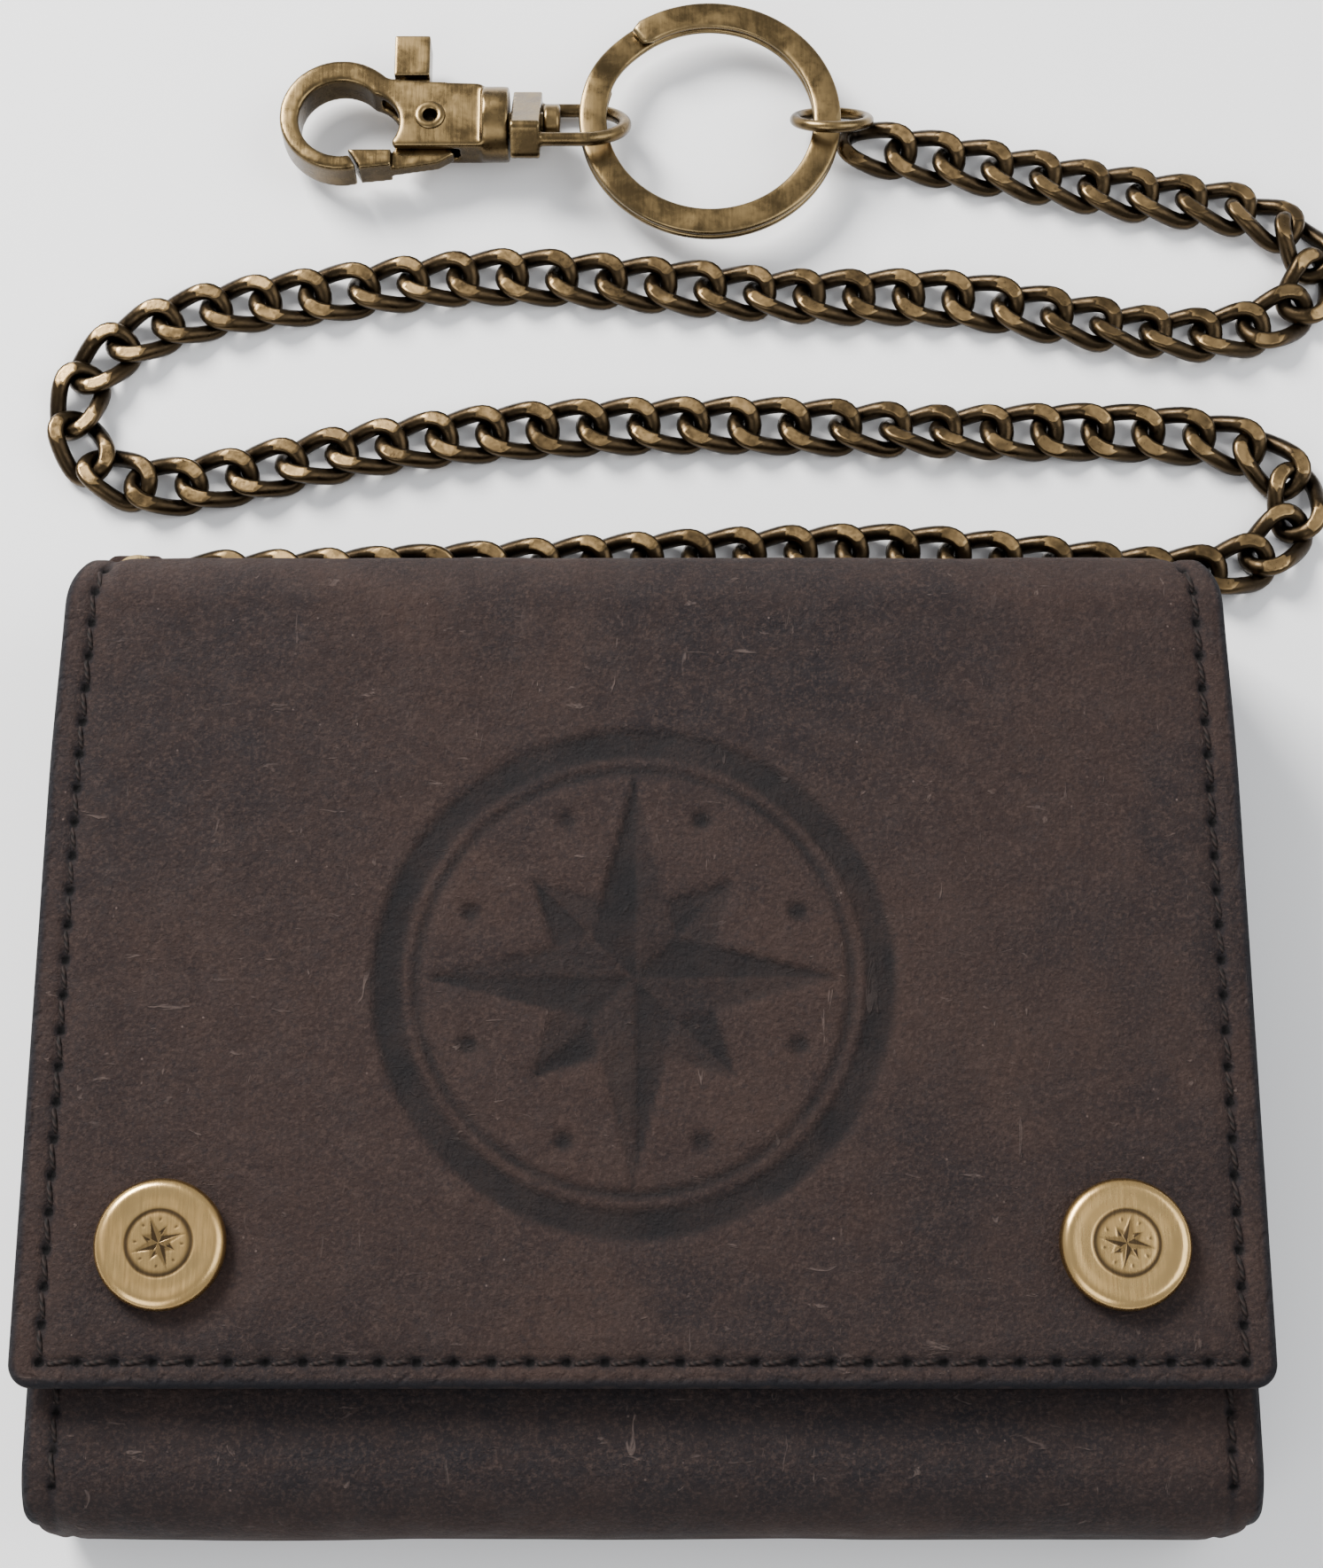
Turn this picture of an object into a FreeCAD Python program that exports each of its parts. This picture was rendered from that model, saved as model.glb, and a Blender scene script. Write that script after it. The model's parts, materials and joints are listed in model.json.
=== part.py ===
import FreeCAD, Part
import math
import os
import re
import Sketcher

# Flap wallet with a curb chain, a split ring and a trigger swivel hook.
# Millimetres. +X to the wallet's right, +Y to the hinge side, +Z up.
# Origin: middle of the wallet's back face, which lies on the ground plane.

V = FreeCAD.Vector
X_AXIS = V(1, 0, 0)
Z_AXIS = V(0, 0, 1)

SIZES = [
    ("flap_width", 128.0, "flap, side to side"),
    ("body_width", 125.6, "pouch, side to side"),
    ("height", 106.0, "closed wallet, hinge fold to bottom fold"),
    ("flap_reach", 92.2, "hinge fold to the flap's free edge"),
    ("front_reach", 69.0, "bottom fold to the front panel's upper edge"),
    ("body_depth", 20.4, "back face to front panel face"),
    ("leather", 2.0, "outer cover thickness"),
    ("lining", 0.6, "pouch lining thickness"),
    ("flap_leather", 1.6, "flap outer leather thickness"),
    ("flap_lining", 0.8, "flap lining thickness"),
    ("flap_gap", 1.5, "front panel to flap lining, filled by the closed snaps"),
    ("hinge_gap", 0.3, "flap to the cover's rounded edge"),
    ("hinge_rise", 0.2, "hinge axis above the flap's face"),
    ("spine_round", 8.0, "outer radius of the fold at the hinge side"),
    ("fold_flat", 0.5, "flat of the cover between its fold and the hinge"),
    ("bottom_round", 7.0, "outer radius of the bottom folds"),
    ("base_round", 3.0, "outer radius at the back of the spine"),
    ("corner_round", 2.5, "plan radius of the lower corners"),
    ("edge_soft", 0.7, "rounding of the flap's turned edge"),
    ("note_gap", 4.4, "banknote compartment, front to back"),
    ("divider", 0.8, "banknote divider thickness"),
    ("divider_reach", 89.0, "bottom fold to the divider's upper edge"),
    ("slot_leather", 0.7, "one card slot panel"),
    ("slot_step", 10.0, "step between card slot mouths"),
    ("slot_reach", 83.0, "bottom fold to the deepest card slot's mouth"),
    ("seam", 0.2, "inner panels to the bottom fold"),
    ("coin_side", 12.8, "pouch's side to the coin pocket"),
    ("coin_depth", 5.5, "coin pocket, front to back"),
    ("coin_length", 68.0, "coin pocket, bottom to zip"),
    ("coin_start", 9.0, "bottom fold to the coin pocket"),
    ("coin_wall", 0.6, "coin pocket wall"),
    ("coin_gap", 0.6, "card slots to coin pocket"),
    ("gusset_leather", 1.0, "side gusset thickness, along X"),
    ("gusset_fold", 5.1, "depth of the gusset's inward fold"),
    ("gusset_inset", 0.3, "gusset to the pouch's side"),
    ("tape", 0.5, "zip tape thickness"),
    ("teeth_gap", 1.0, "gap between the two rows of zip teeth"),
    ("tooth_wide", 0.85, "zip tooth, across the zip"),
    ("tooth_deep", 1.3, "zip tooth, through the zip"),
    ("tooth_long", 1.0, "zip tooth, along the zip"),
    ("tooth_pitch", 2.0, "zip tooth pitch"),
    ("zip_margin", 6.0, "coin pocket's side to the end of the zip teeth"),
    ("slider_long", 7.0, "zip slider length"),
    ("slider_wide", 3.5, "zip slider width"),
    ("slider_plate", 0.7, "zip slider plate thickness"),
    ("slider_clear", 0.15, "zip slider to the teeth"),
    ("slider_inset", 8.0, "right end of the teeth to the closed slider"),
    ("pull_long", 12.0, "zip pull length"),
    ("snap_side", 13.8, "pouch's side to the snaps"),
    ("snap_inset", 14.2, "flap's free edge to the snaps"),
    ("cap_radius", 6.75, "snap cap radius"),
    ("cap_rise", 2.2, "snap cap height above the flap"),
    ("socket_radius", 6.2, "snap socket radius"),
    ("stud_head", 2.55, "snap stud head radius"),
    ("stud_neck", 2.2, "snap stud neck radius"),
    ("snap_clear", 0.35, "stud head to socket"),
    ("cap_post", 1.5, "snap cap post radius"),
    ("stud_post", 1.2, "snap stud rivet radius"),
    ("tab_width", 7.5, "chain tab, side to side"),
    ("tab_long", 5.7, "chain tab, out from the spine"),
    ("tab_leather", 2.0, "chain tab thickness"),
    ("tab_inset", 3.4, "pouch's side to the chain tab's eyelet"),
    ("eyelet_bore", 1.4, "chain tab eyelet bore radius"),
    ("eyelet_rim", 2.6, "chain tab eyelet rim radius"),
    ("tab_ring", 3.6, "connecting ring, centre of wire"),
    ("tab_ring_wire", 0.7, "connecting ring wire radius"),
    ("chain_radius", 2.8, "chain envelope radius"),
    ("chain_height", 2.85, "chain middle above the ground"),
    ("link_ring", 4.5, "end link, centre of wire"),
    ("link_wire", 0.7, "end link wire radius"),
    ("link_tilt", 48.0, "end link, degrees from lying flat"),
    ("ring_x", 7.9, "split ring centre"),
    ("ring_y", 117.3, "split ring centre"),
    ("rig_height", 4.7, "middle of the ring and hook above the ground"),
    ("ring_outer", 16.2, "split ring outer radius"),
    ("ring_band", 3.4, "split ring band width"),
    ("ring_thick", 2.1, "split ring thickness, two turns"),
    ("ring_split", 0.2, "groove between the split ring's turns"),
    ("eye_leg", 5.3, "swivel eye's legs, either side of the axis"),
    ("eye_wire", 0.85, "swivel eye wire radius"),
    ("eye_room", 1.4, "split ring's band to the middle of the eye's bow"),
    ("eye_tilt", 40.0, "swivel eye, degrees from lying flat"),
    ("eye_block", 3.6, "swivel eye block, along the axis"),
    ("eye_height", 2.4, "swivel eye block, half thickness"),
    ("post_radius", 1.5, "swivel post radius"),
    ("post_clear", 0.05, "swivel post to its bore"),
    ("post_head", 2.5, "swivel post head radius"),
    ("head_long", 2.1, "swivel post head length"),
    ("hook_x", -26.6, "hook pivot rivet"),
    ("hook_y", 116.6, "hook and swivel axis"),
    ("hook_thick", 4.6, "hook thickness"),
    ("hook_outer", 7.6, "hook bow outer radius"),
    ("hook_inner", 5.2, "hook bow inner radius"),
    ("hook_throat", 4.1, "hook opening's radius beside the shank"),
    ("collar_start", 6.4, "pivot rivet to the collar"),
    ("collar_long", 3.3, "collar length"),
    ("collar_radius", 4.6, "collar radius"),
    ("swivel_gap", 0.3, "collar to eye block, and block to post head"),
    ("rivet_radius", 1.25, "pivot rivet radius"),
    ("rivet_bore", 0.6, "pivot rivet bore radius"),
    ("rivet_rim", 1.9, "pivot rivet rim radius"),
    ("rivet_rise", 0.3, "pivot rivet rim height"),
    ("trigger_thick", 1.9, "trigger lever thickness"),
    ("trigger_clear", 0.1, "trigger to its slot and its rivet"),
    ("spring_radius", 0.8, "trigger spring radius"),
]

# The chain's middle line on the ground plane, from the tab ring to the end link.
CHAIN_ROUTE = [
    (-51.4, 57.2), (-36.0, 57.4), (-16.0, 58.6), (6.0, 60.0), (28.0, 60.9),
    (47.0, 59.2), (61.0, 57.4), (72.0, 58.6), (79.4, 66.6), (73.6, 74.6),
    (60.0, 76.4), (38.0, 76.2), (12.0, 77.4), (-14.0, 76.8), (-34.0, 74.2),
    (-48.0, 70.6), (-60.6, 68.4), (-69.4, 74.6), (-67.8, 85.2), (-56.6, 92.2),
    (-40.0, 94.6), (-20.0, 97.6), (0.0, 96.2), (20.0, 94.2), (38.0, 94.6),
    (53.0, 91.0), (68.0, 88.6), (79.6, 91.8), (83.2, 100.4), (74.6, 106.6),
    (60.0, 108.4), (44.0, 112.0), (28.7, 115.0),
]

# Places that follow the sizes above.
FOLLOWING = [
    ("snap_x", "=body_width / 2 - snap_side", "snaps, either side of the middle"),
    ("coin_width", "=body_width - 2 * coin_side", "coin pocket, side to side"),
    ("teeth_span", "=coin_width - 2 * zip_margin", "length of the rows of zip teeth"),
    ("slider_x", "=teeth_span / 2 - slider_inset", "zip slider, right of the middle"),
    ("tab_centre", "=body_width / 2 - tab_inset", "chain tab's eyelet, left of the middle"),
]
PART_OF_A_TOOTH = 0.01

doc = FreeCAD.newDocument("chain_wallet")
sheet = doc.addObject("Spreadsheet::Sheet", "Sizes")
for row, (alias, value, note) in enumerate(SIZES + FOLLOWING, 1):
    sheet.set(f"A{row}", alias)
    sheet.set(f"B{row}", str(value))
    sheet.setAlias(f"B{row}", alias)
    sheet.set(f"C{row}", note)
doc.recompute()

ALIASES = {alias for alias, value, note in SIZES + FOLLOWING}
nodes = []


def size(alias):
    return float(getattr(sheet, alias))


def formula(text):
    """An expression over the sheet's aliases, as the document reads it."""
    return re.sub(r"[a-z_]+", lambda m: "Sizes." + m[0] if m[0] in ALIASES else m[0], text)


def bind(thing, **formulas):
    for prop, text in formulas.items():
        thing.setExpression(prop, formula(text))


def place(thing, x="0", y="0", z="0"):
    thing.setExpression(".Placement.Base.x", formula(x))
    thing.setExpression(".Placement.Base.y", formula(y))
    thing.setExpression(".Placement.Base.z", formula(z))


def node(name, thing):
    thing.Label = name
    nodes.append(thing)
    return thing


# ---- sketches and features -------------------------------------------------

def new_body(name):
    return doc.addObject("PartDesign::Body", "body_" + name)


def new_sketch(body, name, plane, offset="0"):
    sketch = body.newObject("Sketcher::SketchObject", name)
    base = next(f for f in body.Origin.OriginFeatures if f.Role == plane)
    sketch.AttachmentSupport = [(base, "")]
    sketch.MapMode = "FlatFace"
    sketch.setExpression(".AttachmentOffset.Base.z", formula(offset))
    return sketch


def pin(sketch, geometry, vertex, across, up):
    """Holds a vertex at two formulas, measured from the sketch's origin."""
    for kind, text in (("DistanceX", across), ("DistanceY", up)):
        index = sketch.addConstraint(Sketcher.Constraint(kind, -1, 1, geometry, vertex, 1.0))
        sketch.setExpression(f"Constraints[{index}]", formula(text))


def outline(sketch, corners):
    """A closed polygon whose corners are pairs of formulas."""
    count = len(corners)
    turn = 2 * math.pi / count
    rough = [V(30 * math.cos(i * turn), 30 * math.sin(i * turn), 0) for i in range(count)]
    for i in range(count):
        sketch.addGeometry(Part.LineSegment(rough[i], rough[(i + 1) % count]), False)
    for i in range(count):
        sketch.addConstraint(Sketcher.Constraint("Coincident", i, 2, (i + 1) % count, 1))
    for i, (across, up) in enumerate(corners):
        pin(sketch, i, 1, across, up)
    return sketch


def rectangle(sketch, x_low, x_high, y_low, y_high):
    return outline(sketch, [(x_low, y_low), (x_high, y_low), (x_high, y_high), (x_low, y_high)])


def circle(sketch, across, up, radius):
    index = sketch.addGeometry(Part.Circle(V(1, 1, 0), Z_AXIS, 5), False)
    pin(sketch, index, 3, across, up)
    held = sketch.addConstraint(Sketcher.Constraint("Radius", index, 5.0))
    sketch.setExpression(f"Constraints[{held}]", formula(radius))
    return sketch


def pad(body, sketch, length, midplane=False, reverse=False):
    feature = body.newObject("PartDesign::Pad", "pad")
    feature.Profile = sketch
    feature.Midplane = midplane
    feature.Reversed = reverse
    bind(feature, Length=length)
    sketch.Visibility = False
    doc.recompute()
    return feature


def pocket(body, sketch, length, midplane=False, reverse=False):
    before = body.Shape.Volume
    feature = body.newObject("PartDesign::Pocket", "pocket")
    feature.Profile = sketch
    feature.Midplane = midplane
    feature.Reversed = reverse
    bind(feature, Length=length)
    doc.recompute()
    if body.Shape.Volume > before - 1e-3:
        raise RuntimeError(f"{body.Name}: {sketch.Name} cuts nothing")
    return feature


def revolve(body, sketch):
    feature = body.newObject("PartDesign::Revolution", "turned")
    feature.Profile = sketch
    feature.ReferenceAxis = (sketch, ["V_Axis"])
    feature.Angle = 360
    doc.recompute()
    return feature


def fillet(body, radius, chosen):
    """Rounds the body's edges that the function chosen picks."""
    base = body.Tip
    names = [f"Edge{i}" for i, edge in enumerate(base.Shape.Edges, 1) if chosen(edge)]
    if not names:
        raise RuntimeError(f"{body.Name}: no edge to round")
    feature = body.newObject("PartDesign::Fillet", "round")
    feature.Base = (base, names)
    bind(feature, Radius=radius)
    doc.recompute()
    return feature


def along(edge, direction):
    line = edge.Curve
    return isinstance(line, Part.Line) and abs(line.Direction.dot(direction)) > 0.999


def crosses(y, z):
    """Picks straight edges along X that pass through y, z."""
    def chosen(edge):
        at = edge.CenterOfMass
        return along(edge, X_AXIS) and abs(at.y - y) < 0.01 and abs(at.z - z) < 0.01
    return chosen


def slab(name, x_half, y_low, y_high, z_low, thick):
    """A flat leather or cloth panel, centred on X."""
    box = doc.addObject("Part::Box", "slab_" + name)
    bind(box, Length=f"2 * ({x_half})", Width=f"({y_high}) - ({y_low})", Height=thick)
    place(box, f"-({x_half})", y_low, z_low)
    return node(name, box)


def turned(name, profile, x="0", y="0", z="0"):
    """A body turned about Z from a profile of (radius, height) formulas."""
    body = new_body(name)
    sketch = outline(new_sketch(body, "profile_" + name, "XZ_Plane"), profile)
    revolve(body, sketch)
    place(body, x, y, z)
    return node(name, body)


# ---- levels, as formulas ----------------------------------------------------

TOP = "height / 2"
BOTTOM = "-height / 2"
FRONT_IN = "(body_depth - leather)"
FLAP_LOW = "(body_depth + flap_gap)"
FLAP_MID = "(body_depth + flap_gap + flap_lining)"
FLAP_TOP = "(body_depth + flap_gap + flap_lining + flap_leather)"
FOLD_Y = "(height / 2 - spine_round - fold_flat)"
FLAP_EDGE = "(height / 2 - flap_reach)"
FRONT_EDGE = "(-height / 2 + front_reach)"
SNAP_Y = f"({FLAP_EDGE} + snap_inset)"
DIVIDER_LOW = "(leather + lining + note_gap)"
SLOTS_LOW = "(leather + lining + note_gap + divider)"
COIN_LOW = "(leather + lining + note_gap + divider + 3 * slot_leather + coin_gap)"
COIN_MID = "(leather + lining + note_gap + divider + 3 * slot_leather + coin_gap + coin_depth / 2)"
COIN_TOP = "(-height / 2 + coin_start + coin_length)"
PANEL_FOOT = "(-height / 2 + leather + seam)"
LINING_FOOT = "(-height / 2 + bottom_round)"


# ---- the pouch --------------------------------------------------------------

def make_outer_cover():
    """One strip of leather: spine, back, bottom fold and front panel."""
    body = new_body("cover")
    half = "height / 2"
    section = [
        (FOLD_Y, FLAP_TOP), (TOP, FLAP_TOP), (TOP, "0"), (BOTTOM, "0"),
        (BOTTOM, "body_depth"), (FRONT_EDGE, "body_depth"), (FRONT_EDGE, FRONT_IN),
        (f"-{half} + leather", FRONT_IN), (f"-{half} + leather", "leather"),
        (f"{half} - leather", "leather"), (f"{half} - leather", FLAP_LOW), (FOLD_Y, FLAP_LOW),
    ]
    sketch = outline(new_sketch(body, "cover_section", "YZ_Plane"), section)
    pad(body, sketch, "body_width", midplane=True)
    end = size("height") / 2
    wall = size("leather")
    deep = size("body_depth")
    flap_low = deep + size("flap_gap")
    flap_top = flap_low + size("flap_lining") + size("flap_leather")
    fillet(body, "spine_round", crosses(end, flap_top))
    fillet(body, "spine_round - leather", crosses(end - wall, flap_low))
    fillet(body, "base_round", crosses(end, 0))
    fillet(body, "base_round - leather", crosses(end - wall, wall))
    for z_out, z_in in ((0, wall), (deep, deep - wall)):
        fillet(body, "bottom_round", crosses(-end, z_out))
        fillet(body, "bottom_round - leather", crosses(wall - end, z_in))

    trim = new_body("cover_outline")
    plan = new_sketch(trim, "cover_plan", "XY_Plane", "-1")
    rectangle(plan, "-body_width / 2", "body_width / 2", BOTTOM, f"{TOP} + 1")
    pad(trim, plan, f"{FLAP_TOP} + 2")
    fillet(trim, "corner_round", lambda e: along(e, Z_AXIS) and e.CenterOfMass.y < 0)

    common = doc.addObject("Part::Common", "cover_rounded")
    common.Base = body
    common.Tool = trim
    holed = doc.addObject("Part::Cut", "cover_with_snap_holes")
    holed.Base = common
    holed.Tool = snap_holes("cover", "stud_post", f"{FRONT_IN} - 1", "leather + 2")
    return node("outer_cover", holed)


def snap_holes(name, radius, z_low, deep):
    """Two cylinders at the snaps, for cutting."""
    tools = []
    for side, sign in (("left", "-"), ("right", "")):
        tool = doc.addObject("Part::Cylinder", f"hole_{name}_{side}")
        bind(tool, Radius=radius, Height=deep)
        place(tool, f"{sign}snap_x", SNAP_Y, z_low)
        tools.append(tool)
    pair = doc.addObject("Part::MultiFuse", f"holes_{name}")
    pair.Shapes = tools
    return pair


def make_linings():
    slab("back_lining", "body_width / 2 - gusset_inset", LINING_FOOT, f"{TOP} - spine_round",
         "leather", "lining")
    panel = doc.addObject("Part::Box", "front_lining_panel")
    bind(panel, Length="body_width - 2 * gusset_inset", Height="lining",
         Width=f"{FRONT_EDGE} - {LINING_FOOT}")
    place(panel, "-body_width / 2 + gusset_inset", LINING_FOOT, f"{FRONT_IN} - lining")
    holed = doc.addObject("Part::Cut", "front_lining_holed")
    holed.Base = panel
    holed.Tool = snap_holes("front_lining", "stud_post", f"{FRONT_IN} - 2 * lining", "3 * lining")
    node("front_lining", holed)


def make_gussets():
    """A strip folded inward once, sewn between back and front at each side."""
    for side, sign in (("left", "-"), ("right", "")):
        edge = "(body_width / 2 - gusset_inset)"
        foot = "(leather + lining)"
        head = f"({FRONT_IN} - lining)"
        near = f"({edge} - gusset_fold)"
        low = f"({foot} + note_gap)"
        high = f"({head} - note_gap)"
        outer = [(edge, foot), (near, low), (near, high), (edge, head)]
        inner = [(f"{x} - gusset_leather", z) for x, z in reversed(outer)]
        body = new_body("gusset_" + side)
        corners = [(f"{sign}({x})", z) for x, z in outer + inner]
        sketch = new_sketch(body, "gusset_section_" + side, "XZ_Plane", f"-{FRONT_EDGE}")
        pad(body, outline(sketch, corners), f"{FRONT_EDGE} - {LINING_FOOT}")
        node("gusset_" + side, body)


def make_inner_panels():
    slab("note_divider", "body_width / 2 - gusset_inset - gusset_leather - gusset_fold",
         PANEL_FOOT, f"{BOTTOM} + divider_reach", DIVIDER_LOW, "divider")
    for i, name in enumerate(("card_slot_back", "card_slot_middle", "card_slot_front")):
        slab(name, "body_width / 2 - gusset_inset - gusset_leather - gusset_fold", PANEL_FOOT,
             f"{BOTTOM} + slot_reach - {i} * slot_step", f"{SLOTS_LOW} + {i} * slot_leather",
             "slot_leather")


def make_coin_pocket():
    body = new_body("coin_pocket")
    plan = new_sketch(body, "coin_plan", "XY_Plane")
    low = f"{BOTTOM} + coin_start"
    rectangle(plan, "-coin_width / 2", "coin_width / 2", low, COIN_TOP)
    pad(body, plan, "coin_depth")
    room = new_sketch(body, "coin_room", "XY_Plane", "coin_depth / 2")
    rectangle(room, "-coin_width / 2 + coin_wall", "coin_width / 2 - coin_wall",
              f"{low} + coin_wall", f"{COIN_TOP} + 1")
    pocket(body, room, "coin_depth - 2 * coin_wall", midplane=True)
    place(body, z=COIN_LOW)
    node("coin_pocket", body)


# ---- the zip ----------------------------------------------------------------

ROW_NEAR = "(teeth_gap / 2)"
ROW_FAR = "(teeth_gap / 2 + tooth_wide)"
TEETH_Y = "(-height / 2 + coin_start + coin_length + tape / 2)"


def zip_bar(name, long, wide, x, z_low):
    bar = doc.addObject("Part::Box", name)
    bind(bar, Length=long, Width="tooth_deep", Height=wide)
    place(bar, x, f"{TEETH_Y} - tooth_deep / 2", z_low)
    return bar


def make_zip_rows():
    width = f"coin_depth / 2 - {ROW_FAR}"
    for side, tape_low, row_low in (
        ("back", f"{COIN_MID} - coin_depth / 2", f"{COIN_MID} - {ROW_FAR}"),
        ("front", f"{COIN_MID} + {ROW_FAR}", f"{COIN_MID} + {ROW_NEAR}"),
    ):
        slab(f"zip_tape_{side}", "coin_width / 2", COIN_TOP, f"{COIN_TOP} + tape", tape_low, width)
        start = f"-teeth_span / 2 + {0 if side == 'back' else 1} * tooth_pitch / 2"
        tooth = zip_bar(f"tooth_{side}", "tooth_long", "tooth_wide", start, row_low)
        doc.recompute()
        count = int(size("teeth_span") / size("tooth_pitch") + PART_OF_A_TOOTH) - 1
        step = size("tooth_pitch")
        row = doc.addObject("Part::Feature", f"teeth_{side}")
        copies = []
        for i in range(count):
            copy = tooth.Shape.copy()
            copy.translate(V(i * step, 0, 0))
            copies.append(copy)
        row.Shape = Part.makeCompound(copies)
        node(f"zip_teeth_{side}", row)
    ends = []
    for sign, shift in (("-", " - 2 * tooth_long"), ("", "")):
        at = f"{sign}(teeth_span / 2 + tooth_long / 2){shift}"
        ends.append(zip_bar("stop", "2 * tooth_long", f"2 * {ROW_FAR}", at, f"{COIN_MID} - {ROW_FAR}"))
    stops = doc.addObject("Part::Compound", "stops")
    stops.Links = ends
    node("zip_stops", stops)


def make_zip_slider():
    """Two plates joined by a thin bridge that runs between the rows of teeth."""
    gap = "(tooth_deep / 2 + slider_clear)"
    plate = f"({gap} + slider_plate)"
    web = "(teeth_gap / 2 - 2 * slider_clear)"
    body = new_body("zip_slider")
    section = new_sketch(body, "slider_section", "YZ_Plane")
    outline(section, [
        (f"-{plate}", "-slider_wide / 2"), (f"-{gap}", "-slider_wide / 2"), (f"-{gap}", f"-{web}"),
        (gap, f"-{web}"), (gap, "-slider_wide / 2"), (plate, "-slider_wide / 2"),
        (plate, "slider_wide / 2"), (gap, "slider_wide / 2"), (gap, web),
        (f"-{gap}", web), (f"-{gap}", "slider_wide / 2"), (f"-{plate}", "slider_wide / 2"),
    ])
    pad(body, section, "slider_long", midplane=True)
    lug = new_sketch(body, "slider_lug", "XY_Plane")
    rectangle(lug, "-1.3", "1.3", f"{plate} - 0.2", f"{plate} + 2.4")
    pad(body, lug, f"2 * {web}", midplane=True)
    eye = new_sketch(body, "slider_eye", "XY_Plane")
    circle(eye, "0", f"{plate} + 1.3", "0.55")
    pocket(body, eye, "slider_wide", midplane=True)
    place(body, "slider_x", TEETH_Y, COIN_MID)
    node("zip_slider", body)


def make_zip_pull():
    """A forked tab on a pin through the slider's lug."""
    plate = "(tooth_deep / 2 + slider_clear + slider_plate)"
    web = "(teeth_gap / 2 - 2 * slider_clear)"
    ear = f"({web} + slider_clear)"
    body = new_body("zip_pull")
    tab = new_sketch(body, "pull_tab", "XY_Plane")
    rectangle(tab, "1.7", "pull_long", "-0.5", "0.5")
    pad(body, tab, f"2 * ({ear} + 0.9)", midplane=True)
    for side, reverse in (("a", False), ("b", True)):
        fork = new_sketch(body, "pull_fork_" + side, "XY_Plane", f"{'-' if reverse else ''}{ear}")
        rectangle(fork, "-0.9", "1.9", "-0.5", "0.5")
        pad(body, fork, "0.5", reverse=reverse)
    rod = new_sketch(body, "pull_rod", "XY_Plane")
    circle(rod, "0", "0", "0.4")
    pad(body, rod, f"2 * {ear} + 0.4", midplane=True)
    place(body, "slider_x", f"{TEETH_Y} + {plate} + 1.3", COIN_MID)
    node("zip_pull", body)


# ---- the flap ---------------------------------------------------------------

def make_flap():
    for name, inset, low, thick, radius in (
        ("flap_outer", "0", FLAP_MID, "flap_leather", "cap_post"),
        ("flap_lining", "1.2", FLAP_LOW, "flap_lining", "(stud_head + snap_clear + 0.6)"),
    ):
        body = new_body(name)
        plan = new_sketch(body, "plan_" + name, "XY_Plane")
        rectangle(plan, f"-flap_width / 2 + {inset}", f"flap_width / 2 - {inset}",
                  f"{FLAP_EDGE} + {inset}", f"{FOLD_Y} - hinge_gap")
        pad(body, plan, thick)
        fillet(body, f"corner_round - {inset}", lambda e: along(e, Z_AXIS) and e.CenterOfMass.y < 0)
        if name == "flap_outer":
            top = size("flap_leather")
            hinge = size("height") / 2 - size("spine_round") - size("fold_flat") - size("hinge_gap")
            fillet(body, "edge_soft", lambda e: abs(e.CenterOfMass.z - top) < 0.01
                   and abs(e.CenterOfMass.y - hinge) > 0.01)
        for side, sign in (("left", "-"), ("right", "")):
            hole = circle(new_sketch(body, f"hole_{name}_{side}", "XY_Plane"),
                          f"{sign}snap_x", SNAP_Y, radius)
            pocket(body, hole, "2 * flap_leather", reverse=True)
            if name == "flap_outer":
                seat = circle(new_sketch(body, f"seat_{side}", "XY_Plane"),
                              f"{sign}snap_x", SNAP_Y, "(stud_head + snap_clear + 0.6)")
                pocket(body, seat, "flap_leather / 2", reverse=True)
        place(body, z=low)
        node(name, body)


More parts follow.
